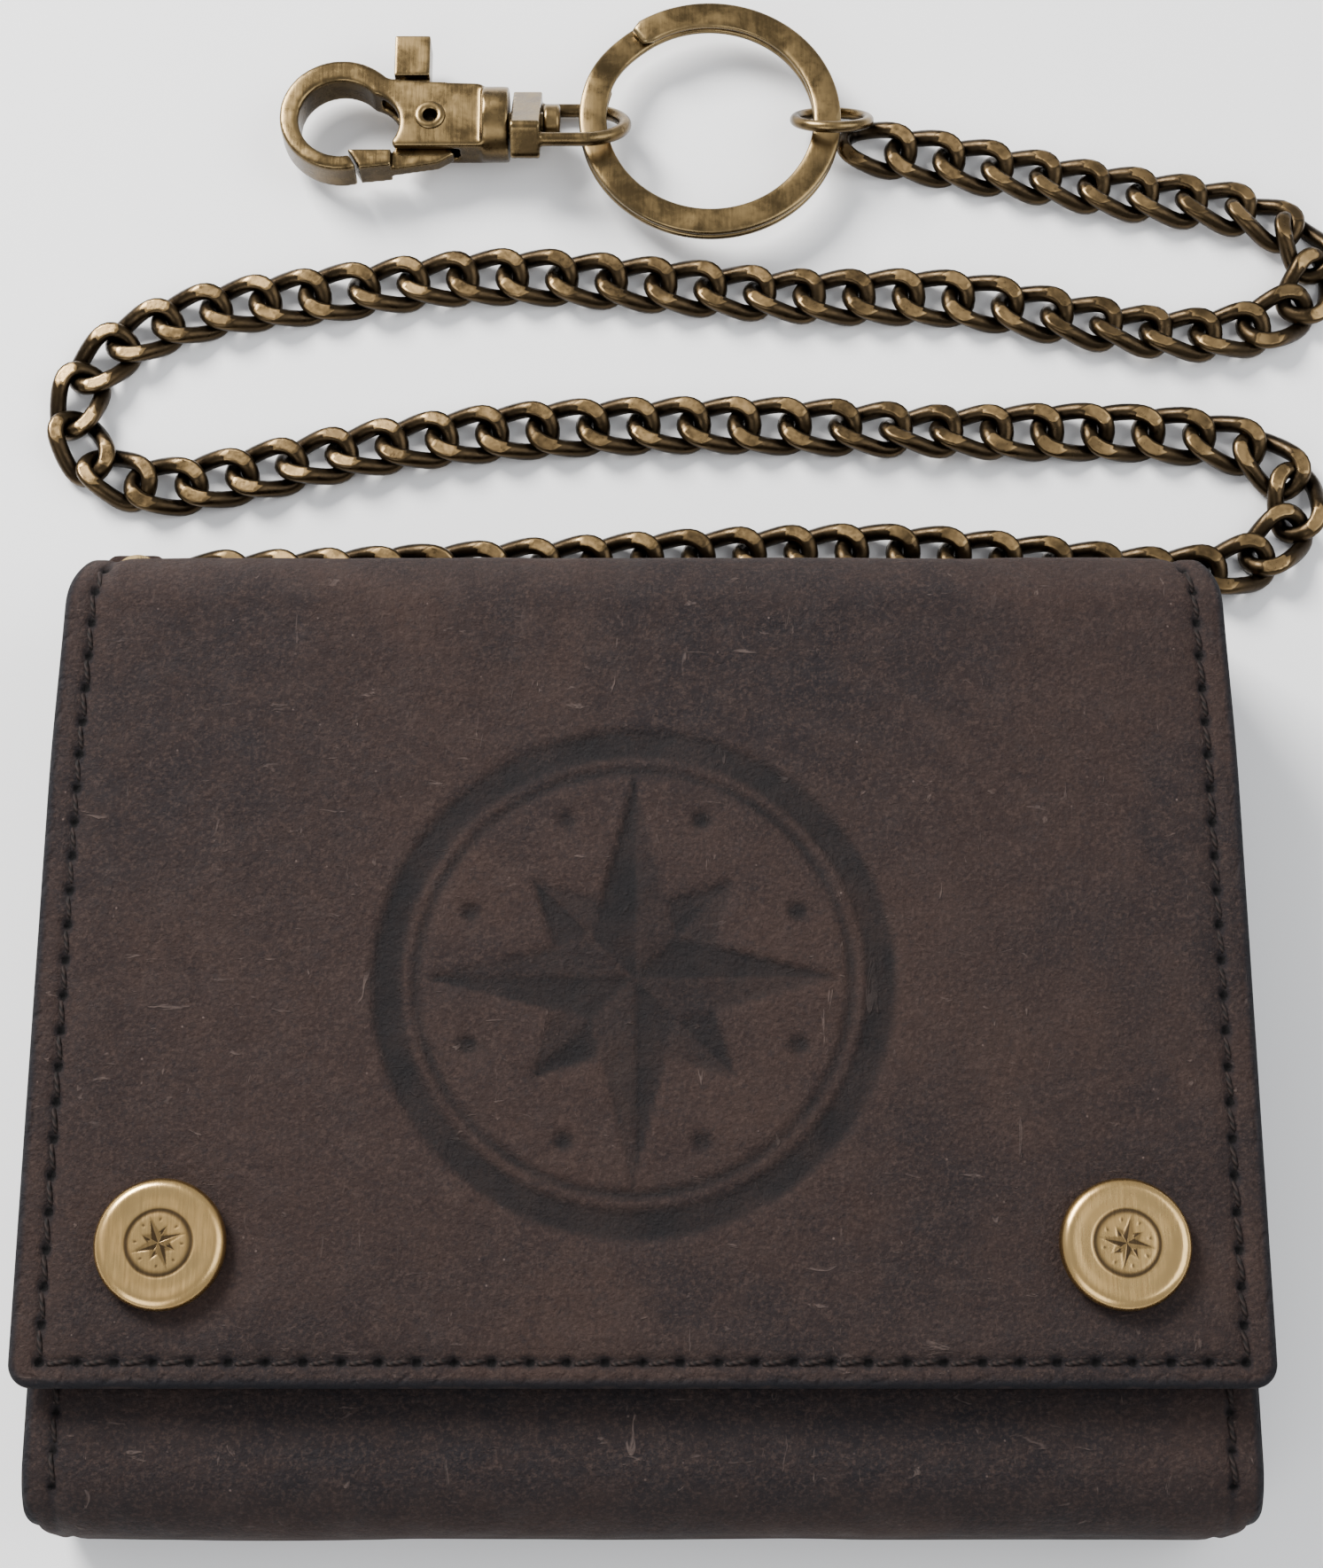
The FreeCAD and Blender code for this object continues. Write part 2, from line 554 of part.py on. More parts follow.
def make_snaps():
    """Each snap: cap, socket and its wire on the flap, stud and its rivet on the front panel."""
    bore = "(stud_head + snap_clear)"
    wall = "(stud_head + snap_clear + 0.55)"
    seat = f"({FLAP_MID} + flap_leather / 2)"
    for side, sign in (("left", "-"), ("right", "")):
        where = {"x": f"{sign}snap_x", "y": SNAP_Y}
        rim = f"({FLAP_TOP})"
        turned("snap_cap_" + side, [
            ("0", f"{rim} + cap_rise"), ("0", f"{rim} + 0.1"), ("cap_post - 0.5", f"{rim} + 0.1"),
            ("cap_post - 0.5", f"{seat} - 0.6"), ("cap_post - 0.05", f"{seat} - 0.6"),
            ("cap_post - 0.05", rim), ("cap_radius - 0.4", rim), ("cap_radius", f"{rim} + 0.4"),
            ("cap_radius", f"{rim} + 1.1"), ("cap_radius - 0.5", f"{rim} + 1.6"),
            ("cap_radius - 2.2", f"{rim} + cap_rise - 0.1"),
        ], **where)
        turned("snap_socket_" + side, [
            ("cap_post", seat), ("cap_post", f"{seat} - 0.35"), (bore, f"{seat} - 0.35"),
            (bore, f"{FLAP_LOW} - 0.1"), (f"{bore} + 0.4", f"{FLAP_LOW} - 0.1"),
            (f"{bore} + 0.4", f"{FLAP_LOW} - 0.75"), (bore, f"{FLAP_LOW} - 0.75"),
            (bore, f"{FLAP_LOW} - 0.9"), ("socket_radius", f"{FLAP_LOW} - 0.9"),
            ("socket_radius", FLAP_LOW), (wall, FLAP_LOW), (wall, seat),
        ], **where)
        wire = doc.addObject("Part::Torus", "snap_wire_" + side)
        bind(wire, Radius1="stud_head + snap_clear + 0.05", Radius2="0.28")
        place(wire, where["x"], where["y"], f"{FLAP_LOW} - 0.42")
        node("snap_spring_" + side, wire)
        turned("snap_stud_" + side, [
            ("stud_post", "body_depth"), ("socket_radius - 1.2", "body_depth"),
            ("socket_radius - 1.2", "body_depth + 0.4"), ("stud_neck", "body_depth + 0.5"),
            ("stud_neck", "body_depth + 1.3"), ("stud_head", "body_depth + 1.6"),
            ("stud_head", "body_depth + 1.9"), ("stud_neck", "body_depth + 2.2"),
            ("0", "body_depth + 2.2"), ("0", "body_depth + 1.2"), ("stud_post", "body_depth + 1.2"),
        ], **where)
        low = f"({FRONT_IN} - lining)"
        turned("snap_rivet_" + side, [
            ("0", "body_depth + 1.2"), ("0", f"{low} - 0.4"), ("socket_radius - 2", f"{low} - 0.4"),
            ("socket_radius - 2", low), ("stud_post - 0.03", low),
            ("stud_post - 0.03", "body_depth + 1.2"),
        ], **where)


# ---- the chain and what is on it ---------------------------------------------

def make_chain_tab():
    hole = ("-tab_centre", f"{TOP} + 3")
    body = new_body("chain_tab")
    plan = new_sketch(body, "tab_plan", "XY_Plane")
    rectangle(plan, "-tab_centre - tab_width / 2", "-tab_centre + tab_width / 2 - 0.4",
              TOP, f"{TOP} + tab_long")
    pad(body, plan, "tab_leather", midplane=True)
    tip = size("height") / 2 + size("tab_long")
    fillet(body, "1.5", lambda e: along(e, Z_AXIS) and abs(e.CenterOfMass.y - tip) < 0.01)
    bore = circle(new_sketch(body, "tab_hole", "XY_Plane"), *hole, "eyelet_bore + 0.35")
    pocket(body, bore, "2 * tab_leather", midplane=True)
    place(body, z="rig_height")
    node("chain_tab", body)
    half = "tab_leather / 2"
    turned("tab_eyelet", [
        ("eyelet_bore", f"-{half} - 0.3"), ("eyelet_rim", f"-{half} - 0.3"),
        ("eyelet_rim", f"-{half}"), ("eyelet_bore + 0.33", f"-{half}"),
        ("eyelet_bore + 0.33", half), ("eyelet_rim", half), ("eyelet_rim", f"{half} + 0.3"),
        ("eyelet_bore", f"{half} + 0.3"),
    ], *hole, "rig_height")
    ring = doc.addObject("Part::Torus", "connecting_ring")
    bind(ring, Radius1="tab_ring", Radius2="tab_ring_wire")
    ring.Placement.Rotation = FreeCAD.Rotation(X_AXIS, 90)
    place(ring, "-tab_centre + tab_ring", hole[1], "rig_height")
    node("tab_ring", ring)


def make_chain():
    """A plain tube along the chain's route: straight runs joined by tangent arcs."""
    level = size("chain_height")
    radius = size("chain_radius")
    points = [V(x, y, level) for x, y in CHAIN_ROUTE]
    edges = []
    bends = []
    start = points[0]
    for before, corner, after in zip(points, points[1:], points[2:]):
        back = (before - corner).normalize()
        ahead = (after - corner).normalize()
        turn = math.pi - back.getAngle(ahead)
        reach = 0.45 * min(before.distanceToPoint(corner), corner.distanceToPoint(after))
        bend = reach / math.tan(turn / 2)
        middle = (back + ahead).normalize()
        gap = bend / math.cos(turn / 2) - bend
        enter = corner + back * reach
        leave = corner + ahead * reach
        edges.append(Part.LineSegment(start, enter).toShape())
        edges.append(Part.Arc(enter, corner + middle * gap, leave).toShape())
        bends.append(bend)
        start = leave
    edges.append(Part.LineSegment(start, points[-1]).toShape())
    path = Part.Wire(edges)
    first = (points[1] - points[0]).normalize()
    section = Part.Wire([Part.makeCircle(radius, points[0], first)])
    tube = path.makePipeShell([section], True, False)
    wanted = math.pi * radius ** 2 * path.Length
    print(f"chain: length {path.Length:.1f}, smallest bend {min(bends):.1f} mm")
    print("bend radii:", " ".join(f"{bend:.0f}" for bend in bends))
    print(f"chain volume {tube.Volume:.0f}, section times length {wanted:.0f}")
    if abs(tube.Volume - wanted) > 0.01 * wanted:
        raise RuntimeError("the chain's tube has lost volume")
    chain = doc.addObject("Part::Feature", "chain_tube")
    chain.Shape = tube
    node("wallet_chain", chain)


def make_rings():
    link = doc.addObject("Part::Torus", "link_torus")
    bind(link, Radius1="link_ring", Radius2="link_wire")
    link.Placement.Rotation = FreeCAD.Rotation(X_AXIS, -size("link_tilt"))
    place(link, "ring_x + ring_outer - ring_band / 2 + 0.6", "ring_y", "rig_height")
    node("end_link", link)
    inner = "(ring_outer - ring_band)"
    half = "ring_thick / 2"
    notch = "ring_split / 2"
    turned("split_ring", [
        (inner, f"-{half}"), ("ring_outer", f"-{half}"), ("ring_outer", f"-{notch}"),
        ("ring_outer - ring_split", "0"), ("ring_outer", notch), ("ring_outer", half),
        (inner, half), (inner, notch), (f"{inner} + ring_split", "0"), (inner, f"-{notch}"),
    ], "ring_x", "ring_y", "rig_height")


BLOCK_START = "(collar_start + collar_long + swivel_gap)"
HOOK_PLACE = ("hook_x", "hook_y", "rig_height")


def make_swivel_eye():
    """A bored block with a loop of wire that goes round the split ring."""
    body = new_body("eye_block")
    end = f"({BLOCK_START} + eye_block)"
    side = new_sketch(body, "block_section", "YZ_Plane", BLOCK_START)
    rectangle(side, "-eye_leg - eye_wire", "eye_leg + eye_wire", "-eye_height", "eye_height")
    pad(body, side, "eye_block")
    fillet(body, "0.9", lambda e: along(e, X_AXIS))
    bore = circle(new_sketch(body, "block_bore", "YZ_Plane", f"{BLOCK_START} - 1"),
                  "0", "0", "post_radius + post_clear")
    pocket(body, bore, "eye_block + 2", reverse=True)
    pieces = [body]
    ring_left = "(ring_x - ring_outer - hook_x)"
    bend = f"({ring_left} + ring_band + eye_room - eye_leg + eye_wire)"
    for sign in ("-", ""):
        leg = doc.addObject("Part::Cylinder", "eye_side")
        bind(leg, Radius="eye_wire", Height=f"{bend} - {end} + 0.5")
        leg.Placement.Rotation = FreeCAD.Rotation(V(0, 1, 0), 90)
        place(leg, f"{end} - 0.5", f"{sign}eye_leg", "0")
        pieces.append(leg)
    bow = doc.addObject("Part::Torus", "eye_bow")
    bind(bow, Radius1="eye_leg", Radius2="eye_wire")
    bow.Angle3 = 180
    bow.Placement.Rotation = FreeCAD.Rotation(Z_AXIS, -90)
    place(bow, bend)
    eye = doc.addObject("Part::MultiFuse", "eye_fused")
    eye.Shapes = pieces + [bow]
    eye.Placement.Rotation = FreeCAD.Rotation(X_AXIS, -size("eye_tilt"))
    place(eye, *HOOK_PLACE)
    node("swivel_eye", eye)


# Hook outlines in the plane of its bow, measured from the pivot rivet.
BOW_CENTRE = ("-11", "0.2")
BOW_OPENING = ("-11", "-0.3")
BOW_THROAT = ("-7.9", "-0.9")
HOOK_SHANK = [
    ("-11", "0.2 + hook_outer"), ("-5", "5.3"), ("0", "4.9"), ("collar_start", "collar_radius"),
    ("collar_start", "-collar_radius + 0.4"), ("-4.4", "-4.2"), ("-5.2", "1"), ("-8.5", "4.4"),
]
HOOK_MOUTH = [
    ("-10.3", "-0.5"), ("-10.3", "-4.6"), ("-8.7", "-7.4"), ("-8", "-9.5"),
    ("-2", "-9.5"), ("-2", "-4.25"), ("-4.5", "-4.25"), ("-5.4", "-0.5"),
]
TRIGGER_LEVER = [
    ("-10.1", "-4.5"), ("-4.6", "-4.4"), ("-3.2", "-1.5"), ("-3.4", "4.5"), ("-4.2", "10.6"),
    ("-0.4", "10.6"), ("-0.4", "5.6"), ("1.8", "4"), ("1.8", "1"), ("2", "-3"),
    ("3", "-4.6"), ("1", "-5.8"), ("-4", "-6.6"), ("-8.5", "-7.1"),
]
TRIGGER_GATE = [("-10.1", "-4.5"), ("-4.7", "-4.5"), ("-4.7", "-6.68"), ("-8.5", "-7.1")]
THUMB_KNOB = ("-4.6", "-0.2", "5.8", "11.4")


def make_hook_body():
    """Flat bow with a mouth for the gate, a slotted shank and a round collar."""
    body = new_body("hook")
    bow = circle(new_sketch(body, "bow_outer", "XY_Plane"), *BOW_CENTRE, "hook_outer")
    pad(body, bow, "hook_thick", midplane=True)
    shank = new_sketch(body, "shank", "XY_Plane")
    outline(shank, HOOK_SHANK)
    pad(body, shank, "hook_thick", midplane=True)
    collar = circle(new_sketch(body, "collar", "YZ_Plane", "collar_start"), "0", "0", "collar_radius")
    pad(body, collar, "collar_long")
    eye = circle(new_sketch(body, "bow_inner", "XY_Plane"), *BOW_OPENING, "hook_inner")
    pocket(body, eye, "3 * hook_thick", midplane=True)
    throat = circle(new_sketch(body, "bow_throat", "XY_Plane"), *BOW_THROAT, "hook_throat")
    pocket(body, throat, "3 * hook_thick", midplane=True)
    mouth = new_sketch(body, "mouth", "XY_Plane")
    outline(mouth, HOOK_MOUTH)
    pocket(body, mouth, "3 * hook_thick", midplane=True)
    slot = new_sketch(body, "slot", "XY_Plane")
    rectangle(slot, "-6", "3.6", "-9", "10")
    pocket(body, slot, "trigger_thick + 2 * trigger_clear", midplane=True)
    nest = new_sketch(body, "spring_nest", "XY_Plane")
    rectangle(nest, "3.4", "5.6", "2.6 - spring_radius - 0.3", "2.6 + spring_radius + 0.3")
    pocket(body, nest, "trigger_thick + 2 * trigger_clear", midplane=True)
    hole = circle(new_sketch(body, "rivet_hole", "XY_Plane"), "0", "0", "rivet_radius + 0.02")
    pocket(body, hole, "3 * hook_thick", midplane=True)
    seat = circle(new_sketch(body, "post_seat", "YZ_Plane", "collar_start - 0.5"),
                  "0", "0", "post_radius")
    pocket(body, seat, "collar_long + 1", reverse=True)
    place(body, *HOOK_PLACE)
    node("hook_body", body)

    post = new_body("post")
    start = "(collar_start - 0.5)"
    rod = circle(new_sketch(post, "post_rod", "YZ_Plane", start), "0", "0", "post_radius")
    head = f"({BLOCK_START} + eye_block + swivel_gap)"
    pad(post, rod, f"{head} - {start} + head_long")
    knob = circle(new_sketch(post, "post_knob", "YZ_Plane", head), "0", "0", "post_head")
    pad(post, knob, "head_long")
    fillet(post, "0.5", lambda e: isinstance(e.Curve, Part.Circle) and e.Curve.Radius > 2)
    place(post, *HOOK_PLACE)
    node("swivel_post", post)


def make_trigger():
    """A lever through the shank: thumb knob on one side, gate on the other."""
    body = new_body("trigger")
    lever = new_sketch(body, "lever", "XY_Plane")
    outline(lever, TRIGGER_LEVER)
    pad(body, lever, "trigger_thick", midplane=True)
    gate = new_sketch(body, "gate", "XY_Plane")
    outline(gate, TRIGGER_GATE)
    pad(body, gate, "hook_thick - 0.6", midplane=True)
    knob = new_sketch(body, "thumb_knob", "XY_Plane")
    rectangle(knob, *THUMB_KNOB)
    pad(body, knob, "hook_thick - 0.4", midplane=True)
    hole = circle(new_sketch(body, "trigger_hole", "XY_Plane"), "0", "0",
                  "rivet_radius + trigger_clear / 2")
    pocket(body, hole, "3 * trigger_thick", midplane=True)
    place(body, *HOOK_PLACE)
    node("trigger", body)

    face = "hook_thick / 2"
    turned("trigger_rivet", [
        ("rivet_bore", f"-{face} - rivet_rise"), ("rivet_rim", f"-{face} - rivet_rise"),
        ("rivet_rim", f"-{face}"), ("rivet_radius", f"-{face}"), ("rivet_radius", face),
        ("rivet_rim", face), ("rivet_rim", f"{face} + rivet_rise"),
        ("rivet_bore", f"{face} + rivet_rise"),
    ], *HOOK_PLACE)
    spring = doc.addObject("Part::Cylinder", "spring_barrel")
    bind(spring, Radius="spring_radius", Height="3.7")
    spring.Placement.Rotation = FreeCAD.Rotation(V(0, 1, 0), 90)
    place(spring, "hook_x + 1.85", "hook_y + 2.6", "rig_height")
    node("trigger_spring", spring)


make_outer_cover()
make_linings()
make_gussets()
make_inner_panels()
make_coin_pocket()
make_zip_rows()
make_zip_slider()
make_zip_pull()
make_flap()
make_snaps()
make_chain_tab()
make_chain()
make_rings()
make_swivel_eye()
make_hook_body()
make_trigger()
doc.recompute()

for thing in doc.Objects:
    if "Invalid" in thing.State or "Error" in thing.State:
        raise RuntimeError(f"{thing.Name} ({thing.Label}): {thing.State}")
for thing in nodes:
    if thing.Shape.isNull() or not thing.Shape.isValid():
        raise RuntimeError(f"{thing.Label}: no valid shape")

os.makedirs("parts", exist_ok=True)
for thing in nodes:
    thing.Shape.exportStep(os.path.join("parts", thing.Label + ".step"))
print(len(nodes), "nodes written")
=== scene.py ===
import json
import math

import bmesh
import bpy
import numpy as np
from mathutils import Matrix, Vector, noise

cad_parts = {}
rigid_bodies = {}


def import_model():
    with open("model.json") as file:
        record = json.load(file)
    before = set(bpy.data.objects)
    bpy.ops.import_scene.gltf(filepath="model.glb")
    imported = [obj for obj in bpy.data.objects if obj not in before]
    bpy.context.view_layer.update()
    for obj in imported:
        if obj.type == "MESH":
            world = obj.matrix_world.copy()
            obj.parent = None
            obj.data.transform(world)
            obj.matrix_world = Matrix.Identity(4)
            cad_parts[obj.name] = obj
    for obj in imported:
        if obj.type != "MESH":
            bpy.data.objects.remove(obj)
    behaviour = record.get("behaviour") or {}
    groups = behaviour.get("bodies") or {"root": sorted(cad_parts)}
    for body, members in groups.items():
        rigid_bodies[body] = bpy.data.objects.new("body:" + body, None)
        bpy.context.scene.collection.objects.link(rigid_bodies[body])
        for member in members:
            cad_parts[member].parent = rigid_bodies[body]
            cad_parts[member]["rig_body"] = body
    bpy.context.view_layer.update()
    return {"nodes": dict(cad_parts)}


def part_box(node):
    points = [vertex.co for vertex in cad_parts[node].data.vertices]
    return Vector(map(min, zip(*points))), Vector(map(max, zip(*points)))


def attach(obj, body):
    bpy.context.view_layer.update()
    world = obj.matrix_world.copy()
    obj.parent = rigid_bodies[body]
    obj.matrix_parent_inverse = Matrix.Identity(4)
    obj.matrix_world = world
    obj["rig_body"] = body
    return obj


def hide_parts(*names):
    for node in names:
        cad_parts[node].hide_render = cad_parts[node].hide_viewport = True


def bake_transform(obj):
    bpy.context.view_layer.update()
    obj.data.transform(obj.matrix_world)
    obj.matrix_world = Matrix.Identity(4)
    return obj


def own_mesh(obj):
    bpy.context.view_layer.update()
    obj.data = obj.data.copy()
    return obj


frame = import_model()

bl_info = {
    "name": "Chain Wallet",
    "version": (1, 0, 0),
    "blender": (4, 5, 0),
    "location": "View3D > Sidebar > Wallet",
    "description": "Builds a leather flap wallet with its curb chain, split ring and trigger hook",
    "category": "Add Mesh",
}

MM = 0.001
TINY = 1e-9
COVER_LOW, COVER_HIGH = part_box("outer_cover")
FLAP_LOW, FLAP_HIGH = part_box("flap_outer")
FRONT_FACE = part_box("snap_stud_left")[0].z
COVER_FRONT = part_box("gusset_left")[1].y
FLAP_HALF = FLAP_HIGH.x
COVER_HALF = COVER_HIGH.x

# Leather: folds in section, corners in plan, thicknesses.
SPINE_ROUND = 8 * MM
BOTTOM_ROUND = 7 * MM
BASE_ROUND = 3 * MM
CORNER_ROUND = 2.5 * MM
LINING_CORNER = 3 * MM
SPINE_SEAM = 14 * MM
COVER_THICK = 2 * MM
FLAP_THICK = 1.6 * MM
FLAP_EDGE_ROUND = 0.9 * MM
FLAP_HEM = (1.1 * MM, 1.8 * MM)
BAG_THICK = 0.6 * MM
BAG_ROUND = 2.6 * MM
GUSSET_THICK = 0.9 * MM
GUSSET_FOLD = 5.1 * MM
GUSSET_CREASE = 4.4 * MM
GUSSET_ROUND = 1.6 * MM

# Mesh spacing of the pieces that need less or more detail than the outer leather.
PANEL_GRID = 1.2 * MM
GUSSET_GRID = 0.7 * MM
TAPE_GRID = 0.25 * MM

# Sewing: where the seams run, and how far thread and needle holes sink.
MOUTH_INSET = 2.6 * MM
MOUTH_SEAM_ENDS = 6 * MM
FRONT_SEAM_END = 66 * MM
BACK_SEAM_START = 94 * MM
BACK_SEAM_END = 8 * MM
FLAP_SEAM_START = 9 * MM
SEAM_GROOVE = 0.6 * MM
NEEDLE_REACH = 0.55 * MM
# Pit depth at which the painted shade in a needle hole is full.
HOLE_SHADE_DEPTH = 0.5 * MM

MOTIF_PLACE = Vector((-1 * MM, 3 * MM))
CAP_MOTIF_RADIUS = 3.5 * MM
CAP_ETCH = 0.05 * MM

# The chain's middle line, from the connecting ring to the end link.
CHAIN_HEIGHT = 1.75 * MM
CHAIN_ROUTE = [
    (-0.0514, 0.0572), (-0.0360, 0.0574), (-0.0160, 0.0586), (0.0060, 0.0600), (0.0280, 0.0609),
    (0.0470, 0.0592), (0.0610, 0.0574), (0.0720, 0.0586), (0.0794, 0.0666), (0.0736, 0.0746),
    (0.0600, 0.0764), (0.0380, 0.0762), (0.0120, 0.0774), (-0.0140, 0.0768), (-0.0340, 0.0742),
    (-0.0480, 0.0706), (-0.0606, 0.0684), (-0.0694, 0.0746), (-0.0678, 0.0852), (-0.0566, 0.0922),
    (-0.0400, 0.0946), (-0.0200, 0.0976), (0.0000, 0.0962), (0.0200, 0.0942), (0.0380, 0.0946),
    (0.0530, 0.0910), (0.0680, 0.0886), (0.0796, 0.0918), (0.0832, 0.1004), (0.0746, 0.1066),
    (0.0600, 0.1084), (0.0440, 0.1120), (0.0287, 0.1150),
]

# The stage: floor, camera, air and lamps. Places are in metres.
FLOOR_REACH = 1.6
CAMERA_PLACE = (0.0019, -0.0695, 0.3134)
CAMERA_TILT = math.radians(18.0)
CAMERA_LENS = 65.12
LAMP_AIM = Vector((0, 0.03, 0))
AIR_TINT = (0.93, 0.95, 1.0, 1)
AIR_STRENGTH = 0.66
# Name, place, side, watts and tint of each softbox.
SOFTBOXES = [
    ("key_softbox", (-0.42, 0.52, 0.50), 0.32, 17.0, (1.0, 0.985, 0.965)),
    ("fill_softbox", (0.55, 0.05, 0.60), 0.60, 4.0, (0.97, 0.985, 1.0)),
    ("low_softbox", (-0.30, -0.55, 0.50), 0.50, 2.6, (1.0, 1.0, 1.0)),
]


# ---- settings -----------------------------------------------------------------

def length(name, description, millimetres):
    return bpy.props.FloatProperty(
        name=name, description=description, default=millimetres * MM, unit="LENGTH", precision=5)


def colour(name, description, value):
    return bpy.props.FloatVectorProperty(
        name=name, description=description, default=value, size=3, min=0, max=1, subtype="COLOR")


class WalletSizes(bpy.types.PropertyGroup):
    grid: length("Leather grid", "Spacing of the flap leather's mesh", 0.5)
    stitch_pitch: length("Stitch pitch", "From one stitch to the next", 3.8)
    stitch_inset: length("Stitch inset", "Side edge to the side stitches", 3.2)
    hem_inset: length("Hem inset", "Free edge to the bottom stitches", 2.5)
    thread: length("Thread", "Thread thickness", 0.55)
    emboss: length("Emboss depth", "How deep the motif is pressed", 0.48)
    emboss_radius: length("Emboss radius", "Outer radius of the pressed motif", 27.5)
    link_pitch: length("Link pitch", "From one chain link to the next", 6.1)
    link_long: length("Link length", "Outer length of a chain link", 10.3)
    link_wide: length("Link width", "Outer width of a chain link", 7.8)
    link_wire: length("Link wire", "Chain wire thickness", 2.05)
    link_flat: length("Link flats", "Half thickness left by the ground flats", 1.56)


class WalletColours(bpy.types.PropertyGroup):
    leather: colour("Leather", "Body of the leather", (0.0215, 0.0133, 0.0117))
    # Also the colour that the painted shade below the flap darkens towards.
    leather_cool: colour("Cool patches", "Blue-black patches in the leather", (0.0085, 0.0074, 0.0088))
    leather_warm: colour("Warm patches", "Browner, lighter patches", (0.0345, 0.0205, 0.0160))
    # Also the colour of the painted shade in the seams' grooves.
    edge: colour("Edge", "Burnished turned edge", (0.0064, 0.0072, 0.0098))
    pressed: colour("Pressed", "Leather darkened by the hot stamp", (0.0038, 0.0034, 0.0040))
    nap: colour("Nap", "Lighter tips of the brushed nap", (0.0620, 0.0400, 0.0320))
    fibre: colour("Fibres", "Raised light fibres and specks", (0.15, 0.11, 0.095))
    thread: colour("Thread", "Stitching thread", (0.0200, 0.0125, 0.0105))
    lining: colour("Lining", "Lining leather", (0.022, 0.018, 0.017))
    brass: colour("Brass", "Rubbed antique brass", (0.22, 0.150, 0.066))
    patina: colour("Patina", "Dark patina in the brass's recesses", (0.026, 0.018, 0.010))
    chain: colour("Chain", "Dark oxide on the links", (0.0105, 0.0078, 0.0058))
    chain_flat: colour("Chain flats", "Rubbed flats of the links", (0.2700, 0.1780, 0.0800))
    cap: colour("Caps", "Gilt snap caps", (0.5600, 0.3700, 0.1500))


# ---- materials ----------------------------------------------------------------
# A noise's or cell's first number is the size of its features in metres. Bump depths are in metres.

class Shader:
    """A material's node tree, written one call for each node."""

    def __init__(self, name):
        self.material = bpy.data.materials.new(name)
        self.material.use_nodes = True
        self.tree = self.material.node_tree
        self.tree.nodes.clear()
        self.surface = self.tree.nodes.new("ShaderNodeBsdfPrincipled")
        out = self.tree.nodes.new("ShaderNodeOutputMaterial")
        self.tree.links.new(self.surface.outputs[0], out.inputs[0])
        place = self.tree.nodes.new("ShaderNodeTexCoord")
        self.object = place.outputs["Object"]

    def feed(self, socket, value):
        """Links a node's output to a socket, or sets a plain value on it."""
        if isinstance(value, bpy.types.NodeSocket):
            self.tree.links.new(value, socket)
        elif value is not None:
            if socket.type == "RGBA" and len(value) == 3:
                value = (*value, 1)
            socket.default_value = value

    def node(self, kind, settings=None, **inputs):
        made = self.tree.nodes.new("ShaderNode" + kind)
        for key, value in (settings or {}).items():
            setattr(made, key, value)
        for key, value in inputs.items():
            self.feed(made.inputs[key.replace("_", " ")], value)
        return made

    def mapping(self, scale=(1, 1, 1), turn=(0, 0, 0), shift=(0, 0, 0)):
        return self.node("Mapping", Vector=self.object, Scale=scale, Rotation=turn,
                         Location=shift).outputs[0]

    def noise(self, size, detail=3.0, rough=0.55, warp=0.0, vector=None):
        """Noise whose features are about size metres across."""
        made = self.node("TexNoise", Vector=vector or self.object, Scale=1 / size, Detail=detail,
                         Roughness=rough, Distortion=warp)
        return made.outputs["Fac"]

    def cells(self, size, feature="F1", vector=None):
        made = self.node("TexVoronoi", {"feature": feature}, Vector=vector or self.object,
                         Scale=1 / size)
        return made.outputs["Distance"]

    def ramp(self, value, low, high, out_low=0.0, out_high=1.0):
        """A smooth step from out_low at low to out_high at high. It may run downwards."""
        made = self.node("MapRange", {"interpolation_type": "SMOOTHSTEP"}, Value=value)
        for i, number in enumerate((low, high, out_low, out_high), 1):
            made.inputs[i].default_value = number
        return made.outputs[0]

    def math(self, operation, first, second=0.0):
        made = self.tree.nodes.new("ShaderNodeMath")
        made.operation = operation
        self.feed(made.inputs[0], first)
        self.feed(made.inputs[1], second)
        return made.outputs[0]

    def mix(self, share, first, second):
        made = self.tree.nodes.new("ShaderNodeMix")
        made.data_type = "RGBA"
        self.feed(made.inputs[0], share)
        self.feed(made.inputs[6], first)
        self.feed(made.inputs[7], second)
        return made.outputs[2]

    def attribute(self, name):
        return self.node("Attribute", {"attribute_name": name}).outputs["Fac"]

    def pointiness(self):
        """Above a half on raised edges, below it in recesses."""
        return self.node("NewGeometry").outputs["Pointiness"]

    def bump(self, height, depth, strength=1.0):
        return self.node("Bump", Height=height, Distance=depth, Strength=strength).outputs[0]

    def finish(self, **inputs):
        for key, value in inputs.items():
            self.feed(self.surface.inputs[key.replace("_", " ")], value)
        return self.material


